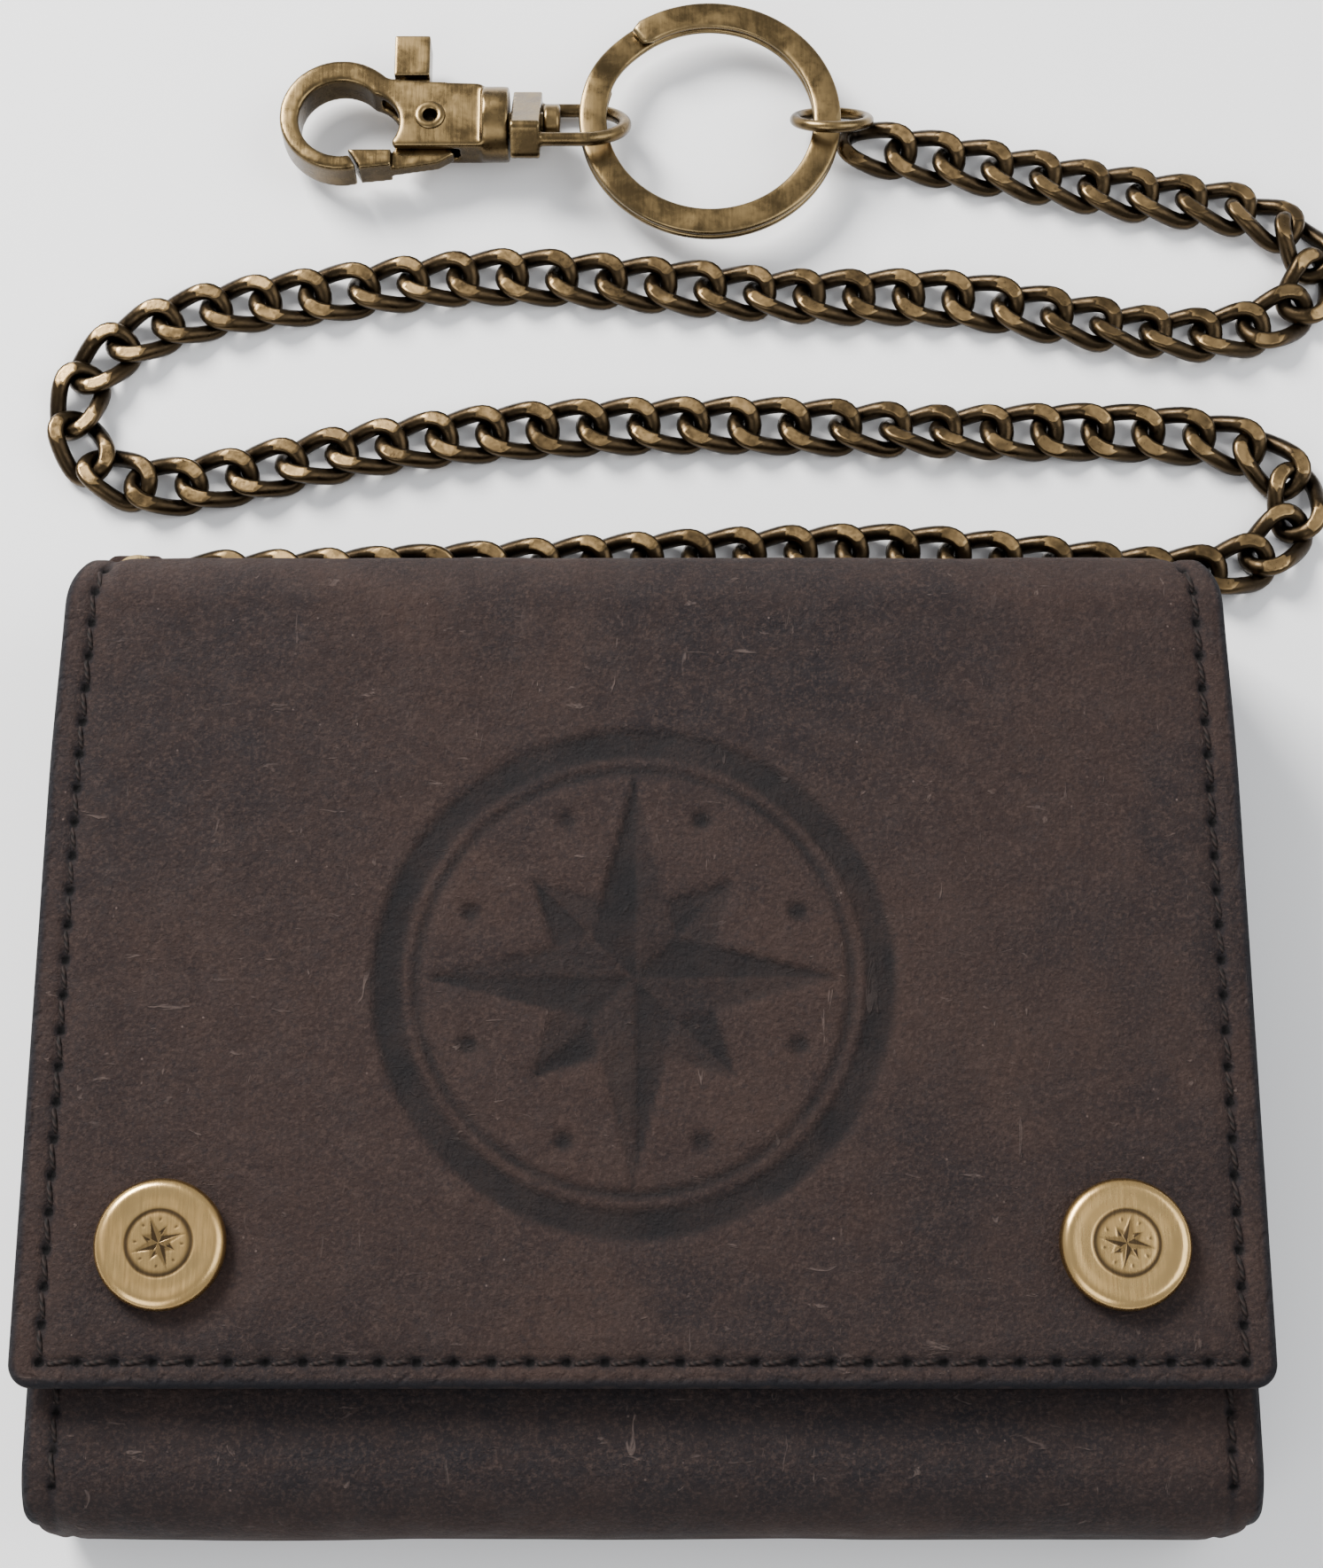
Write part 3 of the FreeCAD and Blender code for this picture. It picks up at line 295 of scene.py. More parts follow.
def leather_material(paint):
    """Waxed nubuck: brown with cooler and warmer patches, a fine nap, loose fibres and specks."""
    s = Shader("waxed_leather")
    cool = s.ramp(s.noise(0.034, 3, 0.55, 0.5), 0.42, 0.66)
    warm = s.ramp(s.noise(0.026, 3, 0.55, 0.4, s.mapping(shift=(0.3, 0.1, 0.2))), 0.48, 0.72)
    base = s.mix(s.math("MULTIPLY", cool, 0.62), paint.leather, paint.leather_cool)
    base = s.mix(s.math("MULTIPLY", warm, 0.55), base, paint.leather_warm)
    # Painted shade on the front panel below the flap, and darker handled patches on the flap, both
    # mixed towards the cool colour.
    shade = s.attribute("shade")
    base = s.mix(s.math("MULTIPLY", shade, 0.85), base, paint.leather_cool)
    cloudy = s.ramp(s.noise(0.0034, 5, 0.66), 0.36, 0.70)
    base = s.mix(s.math("MULTIPLY", cloudy, 0.34), base, paint.leather_warm)
    nap_light = s.ramp(s.noise(0.00045, 3, 0.7), 0.44, 0.72)
    base = s.mix(s.math("MULTIPLY", nap_light, 0.46), base, paint.nap)
    nap_dark = s.ramp(s.noise(0.00085, 3, 0.7, 0.0, s.mapping(shift=(0.1, 0.4, 0.3))), 0.50, 0.72)
    base = s.mix(s.math("MULTIPLY", nap_dark, 0.42), base, paint.leather_cool)

    streak = s.noise(0.0011, 3, 0.6, 0.8, s.mapping((0.30, 1.0, 1.0), (0, 0, 0.35)))
    across = s.noise(0.0012, 3, 0.6, 0.9, s.mapping((1.0, 0.28, 1.0), (0, 0, -0.5)))
    fibres = s.math("MAXIMUM", s.ramp(streak, 0.655, 0.730), s.ramp(across, 0.665, 0.735))
    fibres = s.math("MULTIPLY", fibres, s.ramp(s.noise(0.010), 0.36, 0.60))
    base = s.mix(s.math("MULTIPLY", fibres, 0.36), base, paint.fibre)
    speck = s.ramp(s.cells(0.0019), 0.085, 0.04)
    speck = s.math("MULTIPLY", speck, s.ramp(s.noise(0.006, 2), 0.50, 0.62))
    base = s.mix(s.math("MULTIPLY", speck, 0.50), base, paint.fibre)

    edge = s.attribute("edge")
    groove = s.attribute("groove")
    pressed = s.attribute("pressed")
    ragged = s.math("ADD", edge, s.math("MULTIPLY", s.noise(0.0022, 3), 0.35))
    base = s.mix(s.ramp(ragged, 0.50, 1.15, 0.0, 0.85), base, paint.edge)
    base = s.mix(s.ramp(ragged, 1.16, 1.24, 0.0, 0.30), base, paint.nap)
    # Painted shade: the seam's groove is darkened towards the edge colour, and the needle holes nearly
    # to black.
    base = s.mix(s.ramp(groove, 0.10, 0.55, 0.0, 0.45), base, paint.edge)
    base = s.mix(s.ramp(groove, 0.62, 0.95, 0.0, 0.95), base, (0.0012, 0.0010, 0.0011))
    dull = s.ramp(s.noise(0.008, 4, 0.6), 0.30, 0.70, 0.62, 0.95)
    base = s.mix(s.math("MULTIPLY", pressed, dull), base, paint.pressed)

    crease = s.cells(0.0026, "DISTANCE_TO_EDGE", s.mapping((1.0, 0.75, 1.0), (0, 0, 0.4)))
    crease = s.math("MULTIPLY", s.ramp(crease, 0.15, 0.0), s.ramp(edge, 0.05, 0.5))
    fine = s.noise(0.00055, 5, 0.68)
    nap = s.math("ADD", fine, s.math("MULTIPLY", s.noise(0.0024, 4), 0.9))
    nap = s.math("SUBTRACT", nap, s.math("MULTIPLY", crease, 0.5))
    nap = s.math("ADD", nap, s.math("MULTIPLY", fibres, 0.4))
    rough = s.ramp(s.math("ADD", s.noise(0.004, 4), s.math("MULTIPLY", pressed, 0.3)),
                   0.35, 0.95, 0.80, 0.55)
    return s.finish(Base_Color=base, Roughness=rough, Normal=s.bump(nap, 0.00036, 1.0),
                    Specular_IOR_Level=0.14)


def lining_material(paint):
    """Thin pebbled lining leather."""
    s = Shader("pebbled_lining")
    pebble = s.cells(0.0007)
    worn = s.ramp(s.noise(0.009, 5, 0.65), 0.36, 0.80)
    base = s.mix(s.math("MULTIPLY", worn, 0.30), paint.lining, paint.leather)
    # Painted shade: the crevices between the pebbles are darkened.
    base = s.mix(s.ramp(pebble, 0.40, 0.75, 0.0, 0.55), base, (0.006, 0.0048, 0.0045))
    height = s.math("SUBTRACT", s.math("MULTIPLY", s.noise(0.003, 3), 0.6), pebble)
    return s.finish(Base_Color=base, Roughness=s.ramp(worn, 0, 1, 0.66, 0.82),
                    Normal=s.bump(height, 0.00016, 0.9), Specular_IOR_Level=0.25)


def cloth_material():
    """Zip tape: a fine twill."""
    s = Shader("zip_twill")
    wave = s.node("TexWave", {"bands_direction": "DIAGONAL"}, Vector=s.object, Scale=900.0,
                  Distortion=0.6).outputs["Fac"]
    base = s.mix(wave, (0.012, 0.012, 0.013), (0.035, 0.034, 0.034))
    return s.finish(Base_Color=base, Roughness=0.85, Normal=s.bump(wave, 0.00008),
                    Specular_IOR_Level=0.2)


def brass_material(paint):
    """Antique brass: rubbed high spots, brown patina in recesses, painted shade on the sides that
    don't face up, fine brushing.
    """
    s = Shader("aged_brass")
    worn = s.noise(0.0042, 5, 0.62, 0.3)
    tone = s.ramp(worn, 0.34, 0.66)
    sharp = s.pointiness()
    hollow = s.ramp(sharp, 0.497, 0.44)
    proud = s.ramp(sharp, 0.512, 0.56)
    deep = s.mix(0.62, paint.brass, paint.patina)
    base = s.mix(tone, deep, paint.brass)
    # Painted shade: surfaces that face sideways instead of up are darkened towards the patina colour.
    facing = s.node("SeparateXYZ", Vector=s.node("NewGeometry").outputs["Normal"]).outputs["Z"]
    side = s.ramp(s.math("ABSOLUTE", facing), 0.85, 0.25)
    base = s.mix(s.math("MULTIPLY", side, 0.62), base, paint.patina)
    base = s.mix(hollow, base, paint.patina)
    base = s.mix(s.math("MULTIPLY", proud, 0.35), base, (0.44, 0.33, 0.17))
    spot = s.ramp(s.noise(0.0011, 4, 0.7), 0.60, 0.74)
    base = s.mix(s.math("MULTIPLY", spot, 0.45), base, paint.patina)
    brush = s.noise(0.00032, 3, 0.6, 0.0, s.mapping((1.0, 0.07, 1.0), (0, 0, 0.15)))
    rough = s.ramp(s.math("ADD", s.math("MULTIPLY", brush, 0.5), worn), 0.5, 1.1, 0.22, 0.40)
    return s.finish(Base_Color=base, Metallic=1.0, Roughness=rough,
                    Normal=s.bump(brush, 0.00002, 0.5))


def chain_material(paint):
    """Oxidised links: near black in the hollows, brass on the ground flats."""
    s = Shader("oxidised_chain")
    flat = s.attribute("facet")
    worn = s.noise(0.003, 4, 0.65)
    rubbed = s.noise(0.0065, 2, 0.5)
    ground = s.ramp(flat, 0.38, 0.62)
    share = s.math("MULTIPLY", ground, s.ramp(rubbed, 0.36, 0.62, 0.30, 1.0))
    base = s.mix(share, paint.chain, paint.chain_flat)
    high = s.math("MULTIPLY", s.ramp(s.pointiness(), 0.515, 0.58), 0.22)
    base = s.mix(high, base, paint.chain_flat)
    spot = s.ramp(s.noise(0.0011, 4, 0.7), 0.60, 0.72)
    base = s.mix(s.math("MULTIPLY", spot, 0.55), base, paint.chain)
    rough = s.ramp(s.math("ADD", worn, s.noise(0.0006, 3)), 0.7, 1.3, 0.26, 0.46)
    return s.finish(Base_Color=base, Metallic=1.0, Roughness=rough,
                    Normal=s.bump(s.noise(0.0008, 4), 0.00005, 0.6))


def cap_material(paint):
    """Gilt snap cap with lathe brushing, dark in its etched mark."""
    s = Shader("gilt_cap")
    etched = s.attribute("etched")
    worn = s.noise(0.0035, 4, 0.6)
    base = s.mix(s.ramp(worn, 0.35, 0.7), paint.cap, (0.46, 0.295, 0.115))
    base = s.mix(etched, base, (0.085, 0.055, 0.028))
    brush = s.noise(0.00025, 3, 0.6, 0.0, s.mapping((1.0, 0.07, 1.0), (0, 0, 0.3)))
    rough = s.ramp(s.math("ADD", s.math("MULTIPLY", brush, 0.6), worn), 0.5, 1.2, 0.20, 0.38)
    return s.finish(Base_Color=base, Metallic=1.0, Roughness=rough,
                    Normal=s.bump(brush, 0.00002, 0.5))


def steel_material():
    """Bright spring steel."""
    s = Shader("bright_steel")
    worn = s.noise(0.002, 3)
    base = s.mix(worn, (0.35, 0.34, 0.33), (0.6, 0.59, 0.57))
    return s.finish(Base_Color=base, Metallic=1.0, Roughness=s.ramp(worn, 0.3, 0.7, 0.22, 0.4))


def thread_material(paint):
    """Waxed thread: two plies twisted round each other."""
    s = Shader("waxed_thread")
    twist = s.node("TexWave", {"bands_direction": "DIAGONAL"}, Vector=s.object, Scale=700.0,
                   Distortion=1.0).outputs["Fac"]
    base = s.mix(twist, (0.0045, 0.0030, 0.0026), paint.thread)
    return s.finish(Base_Color=base, Roughness=0.75, Normal=s.bump(twist, 0.00008),
                    Specular_IOR_Level=0.2)


def floor_material():
    """Pale matt floor."""
    s = Shader("studio_floor")
    faint = s.noise(0.4, 2)
    base = s.mix(s.math("MULTIPLY", faint, 0.3), (0.86, 0.86, 0.86), (0.83, 0.83, 0.83))
    return s.finish(Base_Color=base, Roughness=0.9, Specular_IOR_Level=0.1)


# ---- meshes -------------------------------------------------------------------

def add_piece(name, mesh, material, body, replaces=()):
    """A finished piece with its material, body, slot and the CAD nodes that it stands for."""
    made = bpy.data.objects.new(name, mesh)
    bpy.context.scene.collection.objects.link(made)
    mesh.materials.clear()
    mesh.materials.append(material)
    if body:
        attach(made, body)
    if replaces:
        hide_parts(*replaces)
    return made


def build_mesh(name, corners, faces, fields=None, smooth=True):
    """A mesh from points and faces. fields maps an attribute's name to its value at each point."""
    mesh = bpy.data.meshes.new(name)
    mesh.from_pydata([tuple(c) for c in corners], [], [tuple(f) for f in faces])
    for field, values in (fields or {}).items():
        layer = mesh.attributes.new(field, "FLOAT", "POINT")
        layer.data.foreach_set("value", np.asarray(values, np.float32))
    mesh.polygons.foreach_set("use_smooth", [smooth] * len(mesh.polygons))
    mesh.update()
    return mesh


def repair(mesh, distance=0.0):
    """Turns every face outwards, after merging doubles that are nearer than distance."""
    work = bmesh.new()
    work.from_mesh(mesh)
    if distance:
        bmesh.ops.remove_doubles(work, verts=work.verts, dist=distance)
    bmesh.ops.recalc_face_normals(work, faces=work.faces)
    work.to_mesh(mesh)
    work.free()
    return mesh


def soft_step(value, low, high):
    """0 at low, 1 at high, smooth between. low may be the larger one."""
    share = np.clip((value - low) / (high - low), 0, 1)
    return share * share * (3 - 2 * share)


def bell(value, width):
    """1 at zero, falling away smoothly over about a width."""
    return np.exp(-((value / width) ** 2))


# Distances from a rounded edge at which the leather has grid lines, without and with a seam.
EDGE_LINES = np.array([0, 0.05, 0.16, 0.34, 0.58, 0.85, 1.15]) * MM
SEWN_LINES = np.concatenate([EDGE_LINES, np.array([1.5, 1.8, 2.0]) * MM,
                             np.arange(2.2, 4.05, 0.2) * MM])


def graded(low, high, step, soft_low=True, soft_high=True, lines=EDGE_LINES):
    """Grid lines from low to high, crowded at the ends that are rounded."""
    start = low + lines if soft_low else np.array([low])
    stop = high - lines[::-1] if soft_high else np.array([high])
    count = max(2, int(round((stop[0] - start[-1]) / step)))
    middle = np.linspace(start[-1], stop[0], count + 1)[1:-1]
    return np.concatenate([start, middle, stop])


def kept(lines, soft_low, soft_high, every):
    """Which grid lines the hidden side keeps: all at rounded ends, one in every few between.
    A repeated end makes a flat end face."""
    last = len(lines) - 1
    near = len(EDGE_LINES)
    chosen = [0] + (list(range(1, near)) if soft_low else [0])
    first = near if soft_low else 1
    stop = last - near + 1 if soft_high else last
    chosen += list(range(first + every // 2, stop - 1, every))
    chosen += (list(range(stop, last)) if soft_high else [last]) + [last]
    return chosen


def closed_sheet(name, outer, inner, columns, rows, fields):
    """A sheet with thickness. outer and inner are grids of points, and the hidden inner side
    keeps only some columns and rows, whose first and last lie on the outer side's border."""
    wide, tall = outer.shape[:2]
    number = np.arange(wide * tall).reshape(wide, tall)
    corners = [p for p in outer.reshape(-1, 3)]
    values = {key: list(grid.reshape(-1)) for key, grid in fields.items()}
    faces = []
    for i in range(wide - 1):
        for j in range(tall - 1):
            faces.append((number[i, j], number[i, j + 1], number[i + 1, j + 1], number[i + 1, j]))
    last_column, last_row = len(columns) - 1, len(rows) - 1
    inside = {}
    for a in range(1, last_column):
        for b in range(1, last_row):
            inside[a, b] = len(corners)
            corners.append(inner[columns[a], rows[b]])
            for key, grid in fields.items():
                values[key].append(grid[columns[a], rows[b]])

    def corner(a, b):
        return inside.get((a, b), number[columns[a], rows[b]])

    for a in range(last_column):
        for b in range(last_row):
            low_u, high_u, low_v, high_v = columns[a], columns[a + 1], rows[b], rows[b + 1]
            loop = [corner(a, b)]
            if b == 0:
                loop += [number[u, 0] for u in range(low_u + 1, high_u)]
            loop.append(corner(a + 1, b))
            if a + 1 == last_column:
                loop += [number[wide - 1, v] for v in range(low_v + 1, high_v)]
            loop.append(corner(a + 1, b + 1))
            if b + 1 == last_row:
                loop += [number[u, tall - 1] for u in range(high_u - 1, low_u, -1)]
            loop.append(corner(a, b + 1))
            if a == 0:
                loop += [number[0, v] for v in range(high_v - 1, low_v, -1)]
            tidy = [v for k, v in enumerate(loop) if v != loop[k - 1]]
            if len(tidy) > 2:
                faces.append(tidy)
    return build_mesh(name, corners, faces, values)


class Strip:
    """A line in a plane, of straight runs and rounded corners, measured along its length."""

    def __init__(self, corners):
        points = [Vector(c[:2]) for c in corners]
        self.parts = []
        start = points[0]
        for before, here, after, (_, _, radius) in zip(points, points[1:], points[2:], corners[1:]):
            back = (before - here).normalized()
            ahead = (after - here).normalized()
            half = back.angle(ahead) / 2
            reach = radius / math.tan(half)
            enter, leave = here + back * reach, here + ahead * reach
            self.parts.append(("run", start, enter, 0, (enter - start).length))
            centre = here + (back + ahead).normalized() * (radius / math.sin(half))
            side = 1 if back.x * ahead.y - back.y * ahead.x < 0 else -1
            self.parts.append(("arc", centre, enter, side, radius * (math.pi - 2 * half)))
            start = leave
        self.parts.append(("run", start, points[-1], 0, (points[-1] - start).length))
        self.length = sum(part[4] for part in self.parts)

    def at(self, distance):
        """(first, second, normal first, normal second) at a distance along the line."""
        for kind, a, b, side, long in self.parts:
            if distance <= long + TINY:
                break
            distance -= long
        distance = min(distance, long)
        if kind == "run":
            way = (b - a).normalized()
            point = a + way * distance
            return point.x, point.y, way.y, -way.x
        out = b - a
        turn = side * distance / out.length
        spoke = Vector((out.x * math.cos(turn) - out.y * math.sin(turn),
                        out.x * math.sin(turn) + out.y * math.cos(turn)))
        way = Vector((-spoke.y, spoke.x)).normalized() * side
        return a.x + spoke.x, a.y + spoke.y, way.y, -way.x

    def sample(self, distances):
        return np.array([self.at(d) for d in distances]).T


def ripple(x, y, size, depth, seed):
    """Slow uneven swelling of hand-worked leather."""
    flat = np.array([noise.noise(Vector((a / size + seed, b / size, seed)))
                     for a, b in zip(x.ravel(), y.ravel())])
    return flat.reshape(x.shape) * depth


def border_drop(distance, radius):
    """How far a rounded border falls away, this far from the edge."""
    inside = np.clip(radius - distance, 0, radius)
    return radius - np.sqrt(np.maximum(radius ** 2 - inside ** 2, 0))


def sheet_piece(name, strip, half_width, thick, grid, place, soft_ends=(True, True), edge_round=None,
                corner=0.0, relief=None, hem=None, every=8, lines=EDGE_LINES):
    """Leather of one thickness along a strip. place turns (across, first, second) into x, y, z, and
    relief gives the face's height and its fields at each grid point, for swell, seams and pressing.
    corner rounds the far corners in plan, and hem is (width, thickness) of a thicker border."""
    across = graded(-1.0 * half_width, half_width, grid, lines=lines)
    along = graded(0.0, strip.length, grid, *soft_ends, lines=lines)
    x, s = np.meshgrid(across, along, indexing="ij")
    side = half_width - np.abs(x)
    far = strip.length - s if soft_ends[1] else np.full_like(s, 1.0)
    near = s if soft_ends[0] else np.full_like(s, 1.0)
    edge = np.minimum(np.minimum(side, far), near)
    moved_x, moved_s = x.copy(), s.copy()
    if corner:
        a = np.abs(x) - (half_width - corner)
        b = s - (strip.length - corner)
        inside = (a > 0) & (b > 0)
        scale = np.ones_like(x)
        reach = np.hypot(a, b)
        scale[inside] = np.maximum(a, b)[inside] / np.maximum(reach[inside], TINY)
        moved_x = np.where(inside, np.sign(x) * (half_width - corner + a * scale), x)
        moved_s = np.where(inside, strip.length - corner + b * scale, s)
        line = strip.sample(moved_s.ravel()).reshape(4, *x.shape)
    else:
        line = [np.broadcast_to(v, x.shape) for v in strip.sample(along)]
    first, second, out_first, out_second = line
    if edge_round is None:
        edge_round = thick / 2
    drop = border_drop(edge, edge_round)
    raised, fields = relief(moved_x, moved_s, edge, side, far) if relief else (0.0, {})
    deep = thick if hem is None else np.where(edge < hem[0], hem[1], thick)
    up = raised - drop
    down = -deep + border_drop(edge, edge_round)
    tip = edge <= TINY
    up = np.where(tip, -edge_round, up)

    def points(offset):
        return place(moved_x, first + out_first * offset, second + out_second * offset)

    defaults = {"edge": soft_step(edge, 1.9 * MM, 0.0), "groove": np.zeros_like(x),
                "pressed": np.zeros_like(x), "shade": np.zeros_like(x)}
    defaults.update(fields)
    return closed_sheet(name, points(up), points(down), kept(across, True, True, every),
                        kept(along, *soft_ends, every), defaults)


def solid_of_turning(profile, steps):
    """Points and faces of a closed turned shape, from (radius, height) pairs."""
    corners = []
    faces = []
    rings = []
    for radius, height in profile:
        if radius < 1e-7:
            rings.append([len(corners)])
            corners.append((0, 0, height))
            continue
        ring = []
        for k in range(steps):
            angle = 2 * math.pi * k / steps
            ring.append(len(corners))
            corners.append((radius * math.cos(angle), radius * math.sin(angle), height))
        rings.append(ring)
    for low, high in zip(rings, rings[1:]):
        for k in range(steps):
            a, b = low[k % len(low)], low[(k + 1) % len(low)]
            c, d = high[(k + 1) % len(high)], high[k % len(high)]
            loop = [v for n, v in enumerate((a, b, c, d)) if v != (a, b, c, d)[n - 1]]
            if len(loop) > 2:
                faces.append(loop)
    return corners, faces


def tube_faces(count, sides, closed):
    """The wall of a tube of count rings. A closed one runs back into its first ring."""
    faces = []
    for i in range(count if closed else count - 1):
        j = (i + 1) % count
        for k in range(sides):
            m = (k + 1) % sides
            faces.append((i * sides + k, i * sides + m, j * sides + m, j * sides + k))
    return faces


def sweep(name, centres, widths, heights, outline):
    """Carries an outline of (across, up) pairs along centres, with a frame at each, and caps it."""
    corners = []
    count, sides = len(centres), len(outline)
    for centre, wide, tall in zip(centres, widths, heights):
        corners += [centre + wide * a + tall * b for a, b in outline]
    faces = tube_faces(count, sides, False)
    faces.append(tuple(range(sides))[::-1])
    faces.append(tuple(range((count - 1) * sides, count * sides)))
    return repair(build_mesh(name, corners, faces))


def round_outline(radius, sides):
    """A circle as (across, up) pairs."""
    return [(radius * math.cos(a), radius * math.sin(a))
            for a in np.linspace(0, 2 * math.pi, sides + 1)[:-1]]


# ---- geometry nodes -----------------------------------------------------------

def repeat_tree(name, spaced_by_count):
    """Places one shape at every point of a line or mesh, turned by the point's own direction and
    facing, and gives the result one material. With spaced_by_count the line is divided evenly."""
    tree = bpy.data.node_groups.new(name, "GeometryNodeTree")
    face = tree.interface
    face.new_socket("Geometry", in_out="INPUT", socket_type="NodeSocketGeometry")
    face.new_socket("Shape", in_out="INPUT", socket_type="NodeSocketObject")
    face.new_socket("Count", in_out="INPUT", socket_type="NodeSocketInt")
    face.new_socket("Roll", in_out="INPUT", socket_type="NodeSocketFloat")
    face.new_socket("Finish", in_out="INPUT", socket_type="NodeSocketMaterial")
    face.new_socket("Geometry", in_out="OUTPUT", socket_type="NodeSocketGeometry")
    make = tree.nodes.new
    link = tree.links.new
    given = make("NodeGroupInput")
    done = make("NodeGroupOutput")
    shape = make("GeometryNodeObjectInfo")
    link(given.outputs["Shape"], shape.inputs["Object"])
    place = make("GeometryNodeInstanceOnPoints")
    link(shape.outputs["Geometry"], place.inputs["Instance"])
    if spaced_by_count:
        line = make("GeometryNodeMeshToCurve")
        link(given.outputs["Geometry"], line.inputs[0])
        divide = make("GeometryNodeResampleCurve")
        link(line.outputs[0], divide.inputs["Curve"])
        link(given.outputs["Count"], divide.inputs["Count"])
        way = make("GeometryNodeInputTangent")
        aim = make("FunctionNodeAlignEulerToVector")
        aim.axis = "X"
        aim.pivot_axis = "Z"
        link(way.outputs[0], aim.inputs["Vector"])
        # Each link rolls a little about the line, by a noise that is read where it lies.
        wander = make("ShaderNodeTexNoise")
        wander.inputs["Scale"].default_value = 42.0
        wander.inputs["Detail"].default_value = 1.0
        link(make("GeometryNodeInputPosition").outputs[0], wander.inputs["Vector"])
        centred = make("ShaderNodeMath")
        centred.operation = "SUBTRACT"
        link(wander.outputs["Fac"], centred.inputs[0])
        centred.inputs[1].default_value = 0.5
        amount = make("ShaderNodeMath")
        amount.operation = "MULTIPLY"
        link(centred.outputs[0], amount.inputs[0])
        link(given.outputs["Roll"], amount.inputs[1])
        turn = make("FunctionNodeRotateEuler")
        turn.rotation_type = "AXIS_ANGLE"
        turn.space = "LOCAL"
        turn.inputs["Axis"].default_value = (1, 0, 0)
        link(aim.outputs[0], turn.inputs["Rotation"])
        link(amount.outputs[0], turn.inputs["Angle"])
        link(divide.outputs[0], place.inputs["Points"])
        link(turn.outputs[0], place.inputs["Rotation"])
    else:
        link(given.outputs["Geometry"], place.inputs["Points"])
        rotation = None
        for key, axis in (("facing", "Z"), ("way", "X")):
            read = make("GeometryNodeInputNamedAttribute")
            read.data_type = "FLOAT_VECTOR"
            read.inputs["Name"].default_value = key
            aim = make("FunctionNodeAlignEulerToVector")
            aim.axis = axis
            if key == "way":
                aim.pivot_axis = "Z"
                link(rotation, aim.inputs["Rotation"])
            link(read.outputs[0], aim.inputs["Vector"])
            rotation = aim.outputs[0]
        link(rotation, place.inputs["Rotation"])
    real = make("GeometryNodeRealizeInstances")
    finish = make("GeometryNodeSetMaterial")
    link(place.outputs[0], real.inputs[0])
    link(real.outputs[0], finish.inputs["Geometry"])
    link(given.outputs["Finish"], finish.inputs["Material"])
    link(finish.outputs[0], done.inputs[0])
    return tree


def repeated(name, carrier, shape, material, tree, count=0, roll=0.0):
    """The plain mesh that a repeat tree makes on a carrier object, which is then removed."""
    sockets = {item.name: item.identifier for item in tree.interface.items_tree
               if item.in_out == "INPUT"}
    modifier = carrier.modifiers.new("repeat", "NODES")
    modifier.node_group = tree
    modifier[sockets["Shape"]] = shape
    modifier[sockets["Count"]] = count
    modifier[sockets["Roll"]] = roll
    modifier[sockets["Finish"]] = material
    bpy.context.view_layer.update()
    ready = carrier.evaluated_get(bpy.context.evaluated_depsgraph_get())
    mesh = bpy.data.meshes.new_from_object(ready)
    mesh.name = name
    bpy.data.objects.remove(carrier)
    return mesh


def helper_object(name, data):
    """An object in the scene that isn't a piece itself."""
    made = bpy.data.objects.new(name, data)
    bpy.context.scene.collection.objects.link(made)
    return made


def stitch_shape(thread, pitch):
    """One slanted stitch: a bent strand that dives into the leather at both ends."""
    reach, slant, dive, taper = pitch * 0.42, 0.26 * MM, 1.5, 0.25
    steps = 9
    centres, widths, heights = [], [], []
    for k in range(steps):
        share = 2 * k / (steps - 1) - 1
        rise = thread * (0.40 - dive * share ** 4)
        centres.append(Vector((reach * share, slant * share, rise)))
        swell = 1.0 - taper * share ** 2
        widths.append(Vector((0, 1, 0)) * swell)
        heights.append(Vector((0.0, 0, 1)) * swell)
    return sweep("stitch_shape", centres, widths, heights, round_outline(0.5 * thread, 6))


def stitch_row(points, facings, ways):
    """A mesh of loose points that carries each stitch's facing and direction."""
    mesh = bpy.data.meshes.new("stitch_points")
    mesh.from_pydata([tuple(p) for p in points], [], [])
    for key, vectors in (("facing", facings), ("way", ways)):
        layer = mesh.attributes.new(key, "FLOAT_VECTOR", "POINT")
        layer.data.foreach_set("vector", np.array(vectors, np.float32).ravel())
    return helper_object("stitch_points", mesh)


# ---- finishes shared by the operators -------------------------------------------

def finish_of(name):
    """A material by name, made the first time it is asked for."""
    found = bpy.data.materials.get(name)
    if found:
        return found
    paint = bpy.context.scene.wallet_colours
    makers = {
        "waxed_leather": lambda: leather_material(paint),
        "pebbled_lining": lambda: lining_material(paint),
        "zip_twill": cloth_material,
        "aged_brass": lambda: brass_material(paint),
        "oxidised_chain": lambda: chain_material(paint),
        "gilt_cap": lambda: cap_material(paint),
        "bright_steel": steel_material,
        "waxed_thread": lambda: thread_material(paint),
        "studio_floor": floor_material,
    }
    return makers[name]()


def dress(nodes, material):
    """Gives CAD nodes that keep their shape a detailed finish."""
    for name in nodes:
        node = frame["nodes"][name]
        if not node.material_slots:
            raise RuntimeError(name + " has no material slot")
        for slot in node.material_slots:
            slot.material = finish_of(material)


def flap_strip():
    """From the seam on the spine, up over the fold and down the flap to its free edge."""
    return Strip([(COVER_HIGH.y, SPINE_SEAM, 0), (COVER_HIGH.y, FLAP_HIGH.z, SPINE_ROUND),
                  (FLAP_LOW.y, FLAP_HIGH.z, 0)])


def cover_strip():
    """From the front panel's mouth, round the bottom fold and the back, up to the spine seam."""
    return Strip([(COVER_FRONT, FRONT_FACE, 0), (COVER_LOW.y, FRONT_FACE, BOTTOM_ROUND),
                  (COVER_LOW.y, 0, BOTTOM_ROUND), (COVER_HIGH.y, 0, BASE_ROUND),
                  (COVER_HIGH.y, SPINE_SEAM, 0)])


